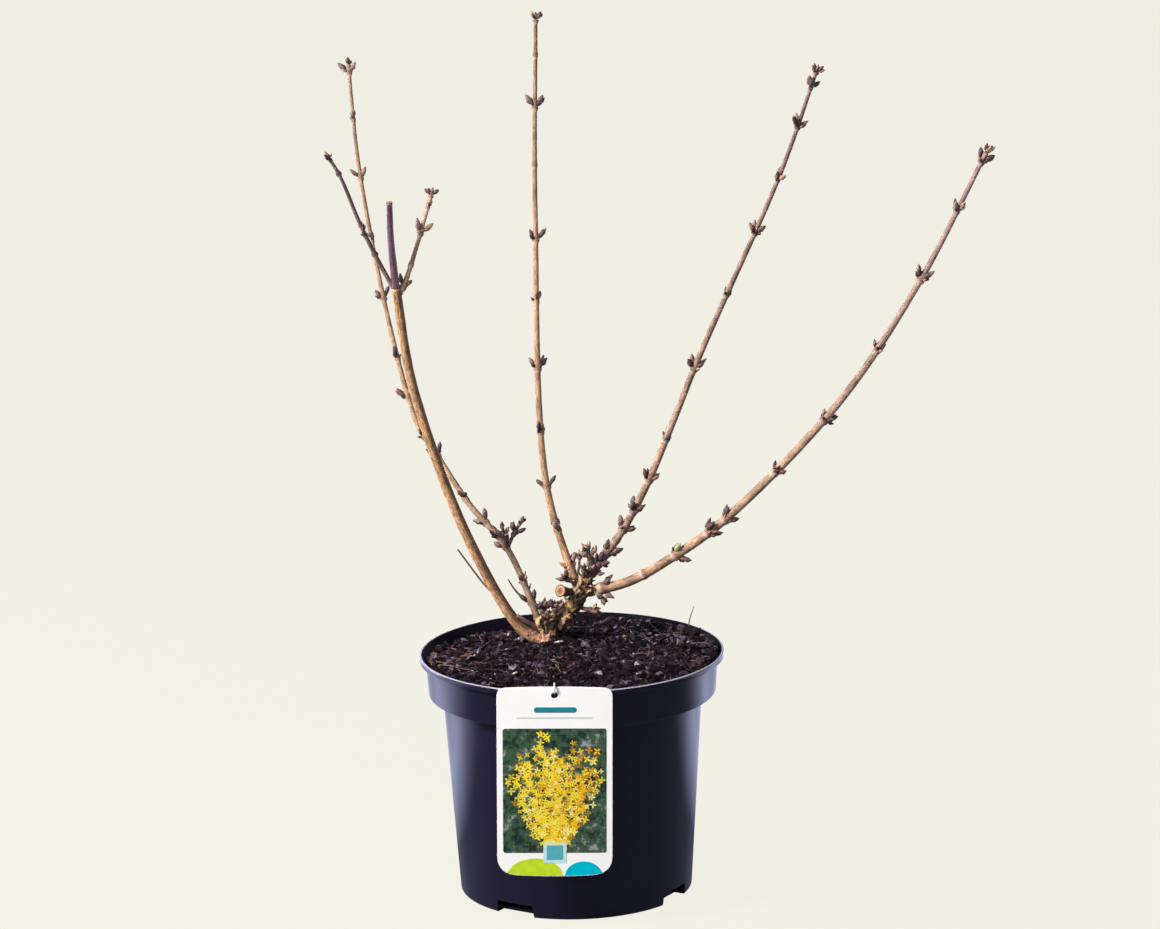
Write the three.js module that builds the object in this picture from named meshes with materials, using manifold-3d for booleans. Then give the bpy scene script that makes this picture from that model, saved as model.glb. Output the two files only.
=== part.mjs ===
// A young forsythia in its nursery pot, leafless in winter, with its plant label.
// Millimetres, +Z up. The origin is the middle of the pot's flat underside, and -Y is the front.
import * as THREE from "three";
import { mergeVertices } from "three/addons/utils/BufferGeometryUtils.js";
import Module from "manifold-3d";

const wasm = await Module();
wasm.setup();

// ---- driving dimensions ----
const GAP = 0.3; // between pieces that touch

const POT = {
  height: 152,
  lipRadius: 95,
  lipDrop: 3.6,
  lipWidth: 3.4,
  bandTopRadius: 91,
  bandFootRadius: 89.5,
  bandHeight: 26,
  bodyTopRadius: 80.8,
  baseRadius: 72.8,
  edge: 1.6,
  wall: 1.6,
  floor: 2.2,
  segments: 48,
};
const NOTCH = { count: 4, firstAngle: -122, width: 29, height: 8, depth: 9 };

const SOIL = { level: 146.4, riseRight: 0.026, dropBack: 0.014, rings: 6, segments: 32 };
const GROUND = 149; // the soil's level round the plant's foot
const FOOT = { x: -15, y: 36, mound: 36 };

const LABEL = {
  width: 70,
  height: 119,
  top: 155.6,
  x: -10.5,
  back: -96.6,
  thickness: 0.9,
  tilt: 1.1,
  topCorner: 6,
  footCorner: 13,
  arch: 1.2,
  holeRadius: 1.6,
  holeDrop: 4.8,
};
const HOOK = { radius: 0.5, rise: 1.1, reach: 15 };

const SIDES = 6; // of a stem's section
const STEP = 11; // length of one straight piece of a stem
const BUD = { length: 8.6, radius: 1.75, widest: 0.42, sides: 4, tilt: 34, sink: 1.1, deepest: 0.65 };
const TIP_BUD_SCALE = 0.85;
const TIP_BUD_REACH = 6; // a budded limb's route ends at the point of its last bud, this far past its wood

// Each limb: where it runs, its radius at the foot, above the flare and at the tip, the share of its
// length at which its bough ends in its budded twig, and its nodes: the first one's share, the lengths
// between them, the buds on each side, how far they fan out, how far the first pair is turned from the
// sides, and the nodes whose buds have dropped.
const LIMBS = {
  foot: {
    route: [[-15, 36, 144], [-15, 36, 152], [-13, 36, 161], [-11, 36, 167]],
    radius: { foot: 10.5, low: 6.9, tip: 5.4, power: 1, flare: 5 },
  },
  crown: {
    route: [[-9, 36, 158], [-2, 36, 167], [3.5, 36, 176], [10, 36, 190]],
    radius: { foot: 4.2, low: 6.4, tip: 5.1, power: 1, flare: 6 },
  },
  knob: {
    route: [[4, 36, 179], [-2, 30, 182], [-6, 25, 184]],
    radius: { foot: 3.2, low: 3.0, tip: 3.9, power: 1, flare: 1 },
  },
  left: {
    route: [[-17, 36, 149], [-30, 35, 156], [-63, 24, 219], [-94, 1, 322], [-102, -16, 387]],
    radius: { foot: 6.4, low: 3.5, tip: 2.8, power: 1, flare: 16 },
  },
  leftStub: {
    route: [[-102, -16, 387], [-104, -21, 417], [-104, -25, 441]],
    radius: { foot: 2.5, low: 2.5, tip: 1.9, power: 1, flare: 1 },
  },
  leftOuter: {
    route: [[-102, -15, 384], [-111, -18, 402], [-122, -24, 428], [-133, -31, 459], [-141, -35, 474]],
    radius: { foot: 1.6, low: 1.5, tip: 1.0, power: 1, flare: 4 },
    nodes: { start: 0.28, internodes: [13, 42, 10], atNode: [1, 2], spread: 36, turn: 0, blind: [0], seed: 11 },
  },
  leftInner: {
    route: [[-100, -15, 383], [-96, -14, 391], [-89, -11, 411], [-83, -8, 430], [-78, -5, 447]],
    radius: { foot: 1.8, low: 1.6, tip: 1.1, power: 1, flare: 4 },
    nodes: { start: 0.07, internodes: [15, 21, 17, 8], atNode: [1, 2], spread: 36, turn: 0, blind: [1], seed: 12 },
  },
  leftRear: {
    route: [
      [-17, 39, 152], [-39, 43, 207], [-63, 49, 236], [-84, 56, 269],
      [-93, 59, 283], [-107, 69, 332], [-127, 93, 442], [-133, 110, 512],
    ],
    radius: { foot: 3.6, low: 2.5, tip: 1.0, power: 1.2, flare: 9 },
    split: 0.52,
    nodes: {
      start: 0.057,
      internodes: [14, 25, 8, 12, 20, 32, 15, 26, 26, 39, 37, 40, 37, 30, 5],
      atNode: [1, 2],
      spread: 40,
      turn: 0,
      blind: [],
      seed: 21,
    },
  },
  leftRearSpur: {
    route: [[-39, 43, 208], [-35, 41, 217], [-28, 40, 229]],
    radius: { foot: 1.3, low: 1.2, tip: 0.9, power: 1, flare: 1 },
    nodes: { start: 0.45, internodes: [9], atNode: [1, 2], spread: 60, turn: 0, blind: [], seed: 23 },
  },
  centre: {
    route: [[2, 38, 187], [-14, 44, 251], [-17, 69, 414], [-14, 93, 540]],
    radius: { foot: 3.4, low: 2.4, tip: 1.1, power: 1.1, flare: 9 },
    split: 0.3,
    nodes: {
      start: 0.022,
      internodes: [25, 29, 34, 41, 42, 39, 47, 36, 33, 22],
      atNode: [1, 2],
      spread: 34,
      turn: 0,
      blind: [7, 9],
      seed: 31,
    },
  },
  rightMiddle: {
    route: [[9, 36, 187], [28, 33, 212], [47, 28, 246], [84, 8, 339], [133, -22, 455], [155, -42, 522]],
    radius: { foot: 3.6, low: 2.7, tip: 1.0, power: 1.3, flare: 9 },
    split: 0.33,
    nodes: {
      start: 0.02,
      internodes: [8, 9, 10, 8, 14, 24, 30, 51, 54, 45, 38, 37, 27, 11],
      atNode: [1, 3],
      spread: 56,
      turn: 0,
      blind: [3],
      seed: 41,
    },
  },
  rightLow: {
    route: [[7, 36, 180], [36, 34, 186.5], [67, 36, 203], [98, 37, 225], [170, 42, 297], [221, 48, 371], [266, 54, 456]],
    radius: { foot: 4.0, low: 3.3, tip: 1.2, power: 0.9, flare: 10 },
    split: 0.42,
    nodes: {
      start: 0.034,
      internodes: [28, 23, 25, 14, 43, 45, 55, 52, 48, 34, 7],
      atNode: [1, 3],
      spread: 56,
      turn: 0,
      blind: [1],
      seed: 51,
    },
  },
  crownSpur: {
    route: [[15, 34, 194], [13, 31, 203], [10, 29, 213]],
    radius: { foot: 1.7, low: 1.5, tip: 1.1, power: 1, flare: 1 },
    nodes: { start: 0.5, internodes: [8], atNode: [1, 2], spread: 70, turn: 0, blind: [], seed: 61 },
  },
  lowSpur: {
    route: [[4, 36, 171], [10, 33, 169.5], [18, 30, 169]],
    radius: { foot: 1.8, low: 1.5, tip: 1.1, power: 1, flare: 1 },
    nodes: { start: 0.5, internodes: [7], atNode: [1, 2], spread: 70, turn: 90, blind: [], seed: 62 },
  },
  footSpur: {
    route: [[-14, 35, 160], [-17, 33, 168], [-18, 32, 176]],
    radius: { foot: 2.4, low: 2.0, tip: 1.3, power: 1, flare: 1 },
    nodes: { start: 0.6, internodes: [6], atNode: [1, 2], spread: 80, turn: 0, blind: [], seed: 63 },
  },
  dryTwig: {
    route: [[-44, 31, 177], [-54, 30, 188], [-70, 26, 212]],
    radius: { foot: 0.9, low: 0.8, tip: 0.5, power: 1, flare: 1 },
  },
  thorn: {
    route: [[-29, 40, 175], [-35, 38, 182], [-39, 37, 189]],
    radius: { foot: 0.9, low: 0.8, tip: 0.4, power: 1, flare: 1 },
  },
};

const BARK = { tan: 0xb98a55, purple: 0x8d6258, dark: 0x4b3440, dry: 0x55503f };

// ---- booleans ----
// A closed geometry as a solid, from its positions alone.
function solidOf(geometry) {
  const bare = geometry.clone();
  bare.deleteAttribute("normal");
  bare.deleteAttribute("uv");
  const merged = mergeVertices(bare, 1e-4);
  return new wasm.Manifold(
    new wasm.Mesh({
      numProp: 3,
      vertProperties: new Float32Array(merged.attributes.position.array),
      triVerts: new Uint32Array(merged.index.array),
    }),
  );
}

// The largest body of a fused solid, with the hollows that its pieces seal filled.
function wholeOf(solid) {
  return solid.decompose().reduce((most, body) => (body.volume() > most.volume() ? body : most));
}

function geometryOf(solid) {
  const mesh = solid.getMesh();
  const geometry = new THREE.BufferGeometry();
  geometry.setAttribute("position", new THREE.BufferAttribute(mesh.vertProperties, 3));
  geometry.setIndex(new THREE.BufferAttribute(mesh.triVerts, 1));
  const faceted = geometry.toNonIndexed();
  faceted.computeVertexNormals();
  return faceted;
}

// ---- limbs ----
const FRONT = new THREE.Vector3(0, -1, 0);
const curves = new Map();

function curveOf(limb) {
  if (!curves.has(limb)) {
    const points = limb.route.map((place) => new THREE.Vector3(...place));
    curves.set(limb, new THREE.CatmullRomCurve3(points));
  }
  return curves.get(limb);
}

// The middle of a limb at a share of its length, with the directions along it, to its right and out of it.
function frameAt(limb, share) {
  const curve = curveOf(limb);
  const along = curve.getTangentAt(share);
  const side = new THREE.Vector3().crossVectors(along, FRONT).normalize();
  const front = new THREE.Vector3().crossVectors(side, along);
  return { point: curve.getPointAt(share), along, side, front };
}

// A limb tapers evenly to its tip and flares out where it leaves what carries it.
function radiusAt(limb, share) {
  const { foot, low, tip, power, flare } = limb.radius;
  const distance = share * curveOf(limb).getLength();
  return tip + (low - tip) * (1 - share) ** power + (foot - low) * Math.exp(-distance / flare);
}

// A straight prism bent along the limb between two shares of its length, and made fatter by extra.
function limbSolid(limb, from = 0, to = 1, extra = 0) {
  const length = (to - from) * curveOf(limb).getLength();
  const steps = Math.max(3, Math.round(length / STEP));
  const prism = new THREE.CylinderGeometry(1, 1, 1, SIDES, steps);
  const position = prism.attributes.position;
  for (let i = 0; i < position.count; i += 1) {
    const share = from + (to - from) * (position.getY(i) + 0.5);
    const { point, side, front } = frameAt(limb, share);
    const radius = radiusAt(limb, share) + extra;
    point.addScaledVector(side, position.getX(i) * radius);
    point.addScaledVector(front, position.getZ(i) * radius);
    position.setXYZ(i, point.x, point.y, point.z);
  }
  return solidOf(prism);
}

// ---- buds ----
function seeded(seed) {
  let state = seed >>> 0;
  return () => {
    state = (Math.imul(state, 1664525) + 1013904223) >>> 0;
    return state / 4294967296;
  };
}

// A spindle from its point on the stem, along its direction, and made fatter by extra.
function budSolid({ start, direction, length }, extra = 0) {
  const radius = (BUD.radius * length) / BUD.length;
  const profile = [
    new THREE.Vector2(0, -extra),
    new THREE.Vector2(radius + 1.5 * extra, length * BUD.widest),
    new THREE.Vector2(0, length + 2 * extra),
  ];
  const spindle = new THREE.LatheGeometry(profile, BUD.sides);
  const turn = new THREE.Quaternion().setFromUnitVectors(new THREE.Vector3(0, 1, 0), direction);
  spindle.applyQuaternion(turn);
  spindle.translate(start.x, start.y, start.z);
  return solidOf(spindle);
}

// The share of a budded limb's route at which its wood ends.
function woodEnd(limb) {
  return 1 - TIP_BUD_REACH / curveOf(limb).getLength();
}

// The buds of one limb: opposite clusters at each node, each pair at right angles to the last.
function budsOf(limb) {
  const { start, internodes, atNode, spread, turn, blind, seed } = limb.nodes;
  const random = seeded(seed);
  const total = internodes.reduce((sum, length) => sum + length, 0);
  const end = woodEnd(limb);
  const buds = [];
  let grown = 0;
  for (let node = 0; node <= internodes.length; node += 1) {
    const share = start + ((end - start) * grown) / total;
    const last = node === internodes.length;
    const { point, along, side, front } = frameAt(limb, share);
    for (const half of blind.includes(node) ? [] : [0, 180]) {
      const count = atNode[0] + Math.floor(random() * (atNode[1] - atNode[0] + 1));
      for (let bud = 0; bud < count; bud += 1) {
        const fan = (bud - (count - 1) / 2) * spread + (random() - 0.5) * 24;
        const angle = THREE.MathUtils.degToRad(turn + 90 * node + half + fan);
        const tilt = THREE.MathUtils.degToRad(BUD.tilt + (random() - 0.5) * 22);
        const length = BUD.length * (0.78 + 0.4 * random()) * (last ? TIP_BUD_SCALE : 1);
        const out = side.clone().multiplyScalar(Math.cos(angle)).addScaledVector(front, Math.sin(angle));
        const direction = along.clone().multiplyScalar(Math.cos(tilt)).addScaledVector(out, Math.sin(tilt));
        const radius = radiusAt(limb, share);
        const root = point.clone().addScaledVector(out, radius - Math.min(BUD.sink, radius * BUD.deepest));
        buds.push({ share, start: root, direction, length });
      }
    }
    grown += internodes[node] ?? 0;
  }
  const tip = frameAt(limb, end);
  const length = BUD.length * TIP_BUD_SCALE;
  const root = tip.point.clone().addScaledVector(tip.along, TIP_BUD_REACH - length);
  buds.push({ share: end, start: root, direction: tip.along, length });
  return buds;
}

// A stretch of limb with the buds that grow on it, clear of both its ends.
function buddedSolid(limb, from = 0, to = 1, extra = 0) {
  const margin = 3 / curveOf(limb).getLength();
  const low = from === 0 ? 0 : from + margin;
  const high = to === 1 ? 1 : to - BUD.length / curveOf(limb).getLength();
  const buds = limb.nodes ? budsOf(limb) : [];
  const end = limb.nodes ? Math.min(to, woodEnd(limb)) : to;
  return buds
    .filter(({ share }) => share >= low && share <= high)
    .reduce((solid, bud) => solid.add(budSolid(bud, extra)), limbSolid(limb, from, end, extra));
}

// The share at which a piece of limb starts when the piece below it ends at a share.
function past(limb, share) {
  return share + GAP / curveOf(limb).getLength();
}

// ---- pot, soil and label ----
function potSolid() {
  const { height, lipRadius, lipDrop, lipWidth, edge, wall, floor } = POT;
  const { bandTopRadius, bandFootRadius, bandHeight } = POT;
  const shoulder = height - bandHeight;
  const profile = [
    [0, 0],
    [POT.baseRadius - edge, 0],
    [POT.baseRadius, edge],
    [POT.bodyTopRadius, shoulder],
    [bandFootRadius, shoulder + 0.4],
    [bandTopRadius, height - lipDrop],
    [lipRadius - edge / 2, height - lipDrop],
    [lipRadius, height - lipDrop + 1],
    [lipRadius, height - 1],
    [lipRadius - edge / 2, height],
    [lipRadius - lipWidth, height],
    [bandTopRadius - wall, height - lipWidth],
    [bandFootRadius - wall, shoulder + wall],
    [POT.bodyTopRadius - wall, shoulder + wall],
    [POT.baseRadius - wall, floor],
    [0, floor],
  ].map(([radius, z]) => new THREE.Vector2(radius, z));
  const shell = new THREE.LatheGeometry(profile, POT.segments);
  shell.rotateX(Math.PI / 2);
  let pot = solidOf(shell);
  for (let i = 0; i < NOTCH.count; i += 1) {
    const block = new THREE.BoxGeometry(2 * NOTCH.depth, NOTCH.width, 2 * NOTCH.height);
    block.translate(POT.baseRadius, 0, 0);
    block.rotateZ(THREE.MathUtils.degToRad(NOTCH.firstAngle + (360 * i) / NOTCH.count));
    pot = pot.subtract(solidOf(block));
  }
  return pot;
}

// The soil's surface: lower at the left and the back, and level round the foot of the plant.
function soilHeight(x, y) {
  const open = SOIL.level + SOIL.riseRight * x - SOIL.dropBack * y;
  const near = Math.exp(-((Math.hypot(x - FOOT.x, y - FOOT.y) / FOOT.mound) ** 4));
  return open + (GROUND - open) * near;
}

function soilSolid() {
  const shoulder = POT.height - POT.bandHeight + POT.wall;
  const inside = POT.wall + GAP;
  const topRadius = POT.bandTopRadius - inside - 0.4;
  const sides = [
    [0, POT.floor + NOTCH.height],
    [POT.baseRadius - inside - NOTCH.depth, POT.floor + NOTCH.height],
    [POT.baseRadius - inside, POT.floor + NOTCH.height + 4],
    [POT.bodyTopRadius - inside, shoulder - GAP],
    [POT.bodyTopRadius - inside, shoulder + GAP],
    [POT.bandFootRadius - inside, shoulder + GAP],
  ];
  const rings = Array.from({ length: SOIL.rings + 1 }, (_, i) => [
    topRadius * (1 - i / SOIL.rings),
    POT.height,
  ]);
  const profile = [...sides, ...rings].map(([radius, z]) => new THREE.Vector2(radius, z));
  const fill = new THREE.LatheGeometry(profile, SOIL.segments);
  fill.rotateX(Math.PI / 2);
  const position = fill.attributes.position;
  for (let i = 0; i < position.count; i += 1) {
    if (position.getZ(i) > POT.height - 1) {
      position.setZ(i, soilHeight(position.getX(i), position.getY(i)));
    }
  }
  return solidOf(fill);
}

// The label's face, drawn from its top edge down, with the hole for its hook.
function labelSolid() {
  const { width, height, topCorner, footCorner, arch, holeRadius, holeDrop } = LABEL;
  const half = width / 2;
  const face = new THREE.Shape();
  face.moveTo(-half + topCorner, 0);
  face.quadraticCurveTo(-half, 0, -half, -topCorner);
  face.lineTo(-half, -height + footCorner);
  face.quadraticCurveTo(-half, -height + arch, -half + footCorner, -height + arch / 2);
  face.quadraticCurveTo(0, -height - arch / 2, half - footCorner, -height + arch / 2);
  face.quadraticCurveTo(half, -height + arch, half, -height + footCorner);
  face.lineTo(half, -topCorner);
  face.quadraticCurveTo(half, 0, half - topCorner, 0);
  face.quadraticCurveTo(0, arch, -half + topCorner, 0);
  const hole = new THREE.Path();
  hole.absarc(0, -holeDrop, holeRadius, 0, 2 * Math.PI, true);
  face.holes.push(hole);
  const card = new THREE.ExtrudeGeometry(face, {
    depth: LABEL.thickness,
    bevelEnabled: false,
    curveSegments: 6,
  });
  card.rotateX(Math.PI / 2);
  card.rotateY(THREE.MathUtils.degToRad(LABEL.tilt));
  card.translate(LABEL.x, LABEL.back, LABEL.top);
  return solidOf(card);
}

// A stiff bent wire: it stands on the soil, crosses the rim and the label's top edge, and ends in its hole.
function hookLimb() {
  const { radius, rise, reach } = HOOK;
  const front = LABEL.back - LABEL.thickness;
  const over = LABEL.top + LABEL.arch + radius + GAP;
  const eye = LABEL.top - LABEL.holeDrop + LABEL.holeRadius - radius - GAP;
  const foot = LABEL.back + reach;
  return {
    route: [
      [LABEL.x, foot, soilHeight(LABEL.x, foot) + radius + GAP],
      [LABEL.x, LABEL.back + reach / 2, POT.height + radius + rise],
      [LABEL.x, LABEL.back, over + radius],
      [LABEL.x, front - 2 * radius - GAP, (over + eye) / 2 + 1],
      [LABEL.x, front - radius, eye + radius],
      [LABEL.x, LABEL.back + radius, eye],
    ],
    radius: { foot: radius, low: radius, tip: radius, power: 1, flare: 1 },
  };
}

// ---- assembly ----
const part = new THREE.Group();

function place(name, solid, color, roughness) {
  const material = new THREE.MeshStandardMaterial({ color, roughness, metalness: 0 });
  const mesh = new THREE.Mesh(geometryOf(wholeOf(solid)), material);
  mesh.name = name;
  part.add(mesh);
}

// All that grows stands above the soil: a tall block whose foot is the ground.
function aboveGround(solid) {
  const room = new THREE.BoxGeometry(600, 400, 600);
  room.translate(0, 0, GROUND + GAP + 300);
  return solid.intersect(solidOf(room));
}

// A solid cut clear of the limbs that it grows from or passes, and of their buds.
function clearOf(solid, ...limbs) {
  return limbs.reduce((left, limb) => left.subtract(buddedSolid(limb, 0, 1, GAP)), solid);
}

place("pot", potSolid(), 0x1b1d26, 0.3);
place("soil", soilSolid(), 0x33272c, 0.95);
place("plant_label", labelSolid(), 0xf4f5f3, 0.35);
const hook = hookLimb();
place("label_hook", limbSolid(hook), 0xd8d8d2, 0.4);

const L = LIMBS;
place("crown_foot", aboveGround(limbSolid(L.foot)), BARK.tan, 0.8);
const crown = clearOf(limbSolid(L.crown), L.foot).add(limbSolid(L.knob));
place("crown_limb", crown, BARK.tan, 0.85);

place("bough_left", clearOf(aboveGround(limbSolid(L.left)), L.foot), BARK.tan, 0.7);
const stubStart = GAP / curveOf(L.leftStub).getLength();
place("stub_left", limbSolid(L.leftStub, stubStart), BARK.dark, 0.7);
place("twigs_left_outer", clearOf(buddedSolid(L.leftOuter), L.left, L.leftStub), BARK.purple, 0.7);
place("twigs_left_inner", clearOf(buddedSolid(L.leftInner), L.left, L.leftStub), BARK.purple, 0.7);

const forks = {
  left_rear: [L.leftRear, [L.foot, L.left, L.crown]],
  centre: [L.centre, [L.crown, L.knob]],
  right_middle: [L.rightMiddle, [L.crown]],
  right_low: [L.rightLow, [L.crown, L.rightMiddle]],
};
for (const [name, [limb, carriers]] of Object.entries(forks)) {
  const bough = clearOf(aboveGround(buddedSolid(limb, 0, limb.split)), ...carriers);
  place("bough_" + name, bough, BARK.tan, 0.75);
  place("twigs_" + name, buddedSolid(limb, past(limb, limb.split), 1), BARK.purple, 0.7);
}

place("spur_left_rear", clearOf(buddedSolid(L.leftRearSpur), L.leftRear), BARK.dark, 0.8);
place("spur_crown", clearOf(buddedSolid(L.crownSpur), L.crown, L.rightMiddle, L.centre), BARK.dark, 0.8);
place("spur_low", clearOf(buddedSolid(L.lowSpur), L.crown, L.rightLow, L.foot), BARK.dark, 0.8);
place("spur_foot", clearOf(buddedSolid(L.footSpur), L.foot, L.crown, L.leftRear), BARK.dark, 0.8);
place("dry_twig", clearOf(limbSolid(L.dryTwig), L.left), BARK.dry, 0.9);
place("thorn_twig", clearOf(limbSolid(L.thorn), L.leftRear), BARK.dry, 0.9);

export default part;
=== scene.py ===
"""A young forsythia in its nursery pot, leafless and in winter bud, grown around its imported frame.

Places along the plant are written in millimetres, as its solids are, and become metres in the meshes.
"""

import logging
from dataclasses import dataclass, field
from enum import Enum
from math import acos, atan2, cos, exp, hypot, pi, radians, sin, sqrt, tau
from typing import Iterable, Sequence

import bmesh
import bpy
import numpy as np
from bmesh.types import BMesh
from bpy.types import Material, Node, NodeSocket, Object
from mathutils import Matrix, Vector, noise


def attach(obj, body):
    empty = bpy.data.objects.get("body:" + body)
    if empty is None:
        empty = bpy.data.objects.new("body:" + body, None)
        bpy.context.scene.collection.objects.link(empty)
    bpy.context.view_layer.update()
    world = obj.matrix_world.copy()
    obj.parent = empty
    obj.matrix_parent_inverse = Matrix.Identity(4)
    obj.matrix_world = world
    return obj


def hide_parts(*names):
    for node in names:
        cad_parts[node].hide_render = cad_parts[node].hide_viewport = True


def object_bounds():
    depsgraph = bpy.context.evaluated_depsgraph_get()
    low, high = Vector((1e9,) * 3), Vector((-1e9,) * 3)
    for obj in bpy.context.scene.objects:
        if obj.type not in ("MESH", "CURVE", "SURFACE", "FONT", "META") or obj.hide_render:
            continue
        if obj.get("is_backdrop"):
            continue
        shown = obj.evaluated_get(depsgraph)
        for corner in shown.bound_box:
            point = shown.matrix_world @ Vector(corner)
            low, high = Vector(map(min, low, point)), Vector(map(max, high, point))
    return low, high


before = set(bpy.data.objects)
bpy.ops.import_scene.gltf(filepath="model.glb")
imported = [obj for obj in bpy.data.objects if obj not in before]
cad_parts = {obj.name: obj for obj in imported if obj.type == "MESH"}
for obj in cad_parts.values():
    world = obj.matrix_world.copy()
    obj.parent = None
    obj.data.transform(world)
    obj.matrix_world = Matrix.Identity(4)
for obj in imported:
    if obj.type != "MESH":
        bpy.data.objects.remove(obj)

LOG = logging.getLogger("forsythia")
MM = 0.001
BODY = "root"
# The last two bark layers carry painted shade: towards the limb's foot, and on its side facing away from the
# key light.
BARK_LAYERS = ("age", "joint", "scar", "root", "side_shade_mask")
Place = tuple[float, float, float]
Colour = tuple[float, float, float]
Spot = tuple[float, float]
Range = tuple[float, float]


# -------- shared helpers


class Draws:
    """Repeatable draws between 0 and 1, in the order that the plant's solids use."""

    COUNT = 2**32
    TIMES = 1664525
    PLUS = 1013904223

    def __init__(self, seed: int) -> None:
        """Starts a new row of draws from a seed."""
        self.state = seed % self.COUNT

    def draw(self) -> float:
        """Returns the next draw, from 0 up to 1."""
        self.state = (self.state * self.TIMES + self.PLUS) % self.COUNT
        return self.state / self.COUNT

    def between(self, low: float, high: float) -> float:
        """Returns the next draw, stretched between two values."""
        return low + (high - low) * self.draw()


def clamped(value: float) -> float:
    """Returns a value held between 0 and 1."""
    return min(1.0, max(0.0, value))


def bell(gap: float, width: float) -> float:
    """Returns 1 where a gap is 0, and smoothly less the wider it is."""
    return exp(-((gap / width) ** 2))


def set_sockets(node: Node, values: dict[str, object]) -> None:
    """Sets a shader node's own sockets by name.

    Args:
        node: The node to set.
        values: Socket names and their values.
    """
    for name, value in values.items():
        node.inputs[name].default_value = value


def dress(piece: Object, nodes: Sequence[str] = (), smooth: bool = True) -> Object:
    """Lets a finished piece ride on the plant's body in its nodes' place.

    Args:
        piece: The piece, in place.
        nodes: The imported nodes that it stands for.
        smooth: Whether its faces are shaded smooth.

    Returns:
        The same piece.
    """
    piece.data.polygons.foreach_set("use_smooth", [smooth] * len(piece.data.polygons))
    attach(piece, BODY)
    if nodes:
        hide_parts(*nodes)
    LOG.info("%s: %d faces", piece.name, len(piece.data.polygons))
    return piece


def linked(name: str, data: bpy.types.ID) -> Object:
    """Makes an object of a mesh, a curve, a lamp or a lens.

    Args:
        name: The object's name.
        data: What it shows.

    Returns:
        The object, linked to the scene.
    """
    made = bpy.data.objects.new(name, data)
    bpy.context.scene.collection.objects.link(made)
    return made


def piece_from(name: str, mesh: BMesh, materials: Iterable[Material]) -> Object:
    """Turns a bmesh into a linked object at the origin.

    Args:
        name: The piece's name.
        mesh: The bmesh, which is freed.
        materials: Its materials, in slot order.

    Returns:
        The new object.
    """
    data = bpy.data.meshes.new(name)
    mesh.to_mesh(data)
    mesh.free()
    for material in materials:
        data.materials.append(material)
    return linked(name, data)


def applied(piece: Object) -> Object:
    """Applies a piece's modifiers, or makes a curve a mesh.

    Args:
        piece: The object to bake down.

    Returns:
        A mesh object of the same name that replaces it.
    """
    graph = bpy.context.evaluated_depsgraph_get()
    data = bpy.data.meshes.new_from_object(piece.evaluated_get(graph))
    name = piece.name
    bpy.data.objects.remove(piece)
    data.name = name
    return linked(name, data)


def spin_line(mesh: BMesh, points: Iterable[Sequence[float]], steps: int, gap: float) -> None:
    """Spins a line of points fully round the upright axis and closes its seam and poles.

    Args:
        mesh: The empty bmesh that takes it.
        points: The points, in metres.
        steps: The steps round it.
        gap: How near two corners are made one.
    """
    verts = [mesh.verts.new(point) for point in points]
    edges = [mesh.edges.new(pair) for pair in zip(verts, verts[1:])]
    bmesh.ops.spin(
        mesh, geom=verts + edges, cent=(0, 0, 0), axis=(0, 0, 1), angle=tau,
        steps=steps, use_merge=True, use_duplicate=False,
    )
    bmesh.ops.remove_doubles(mesh, verts=mesh.verts[:], dist=gap)


def face_outwards(mesh: BMesh) -> None:
    """Turns the faces of a closed shape outwards."""
    bmesh.ops.recalc_face_normals(mesh, faces=mesh.faces[:])


# -------- finishes


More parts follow.
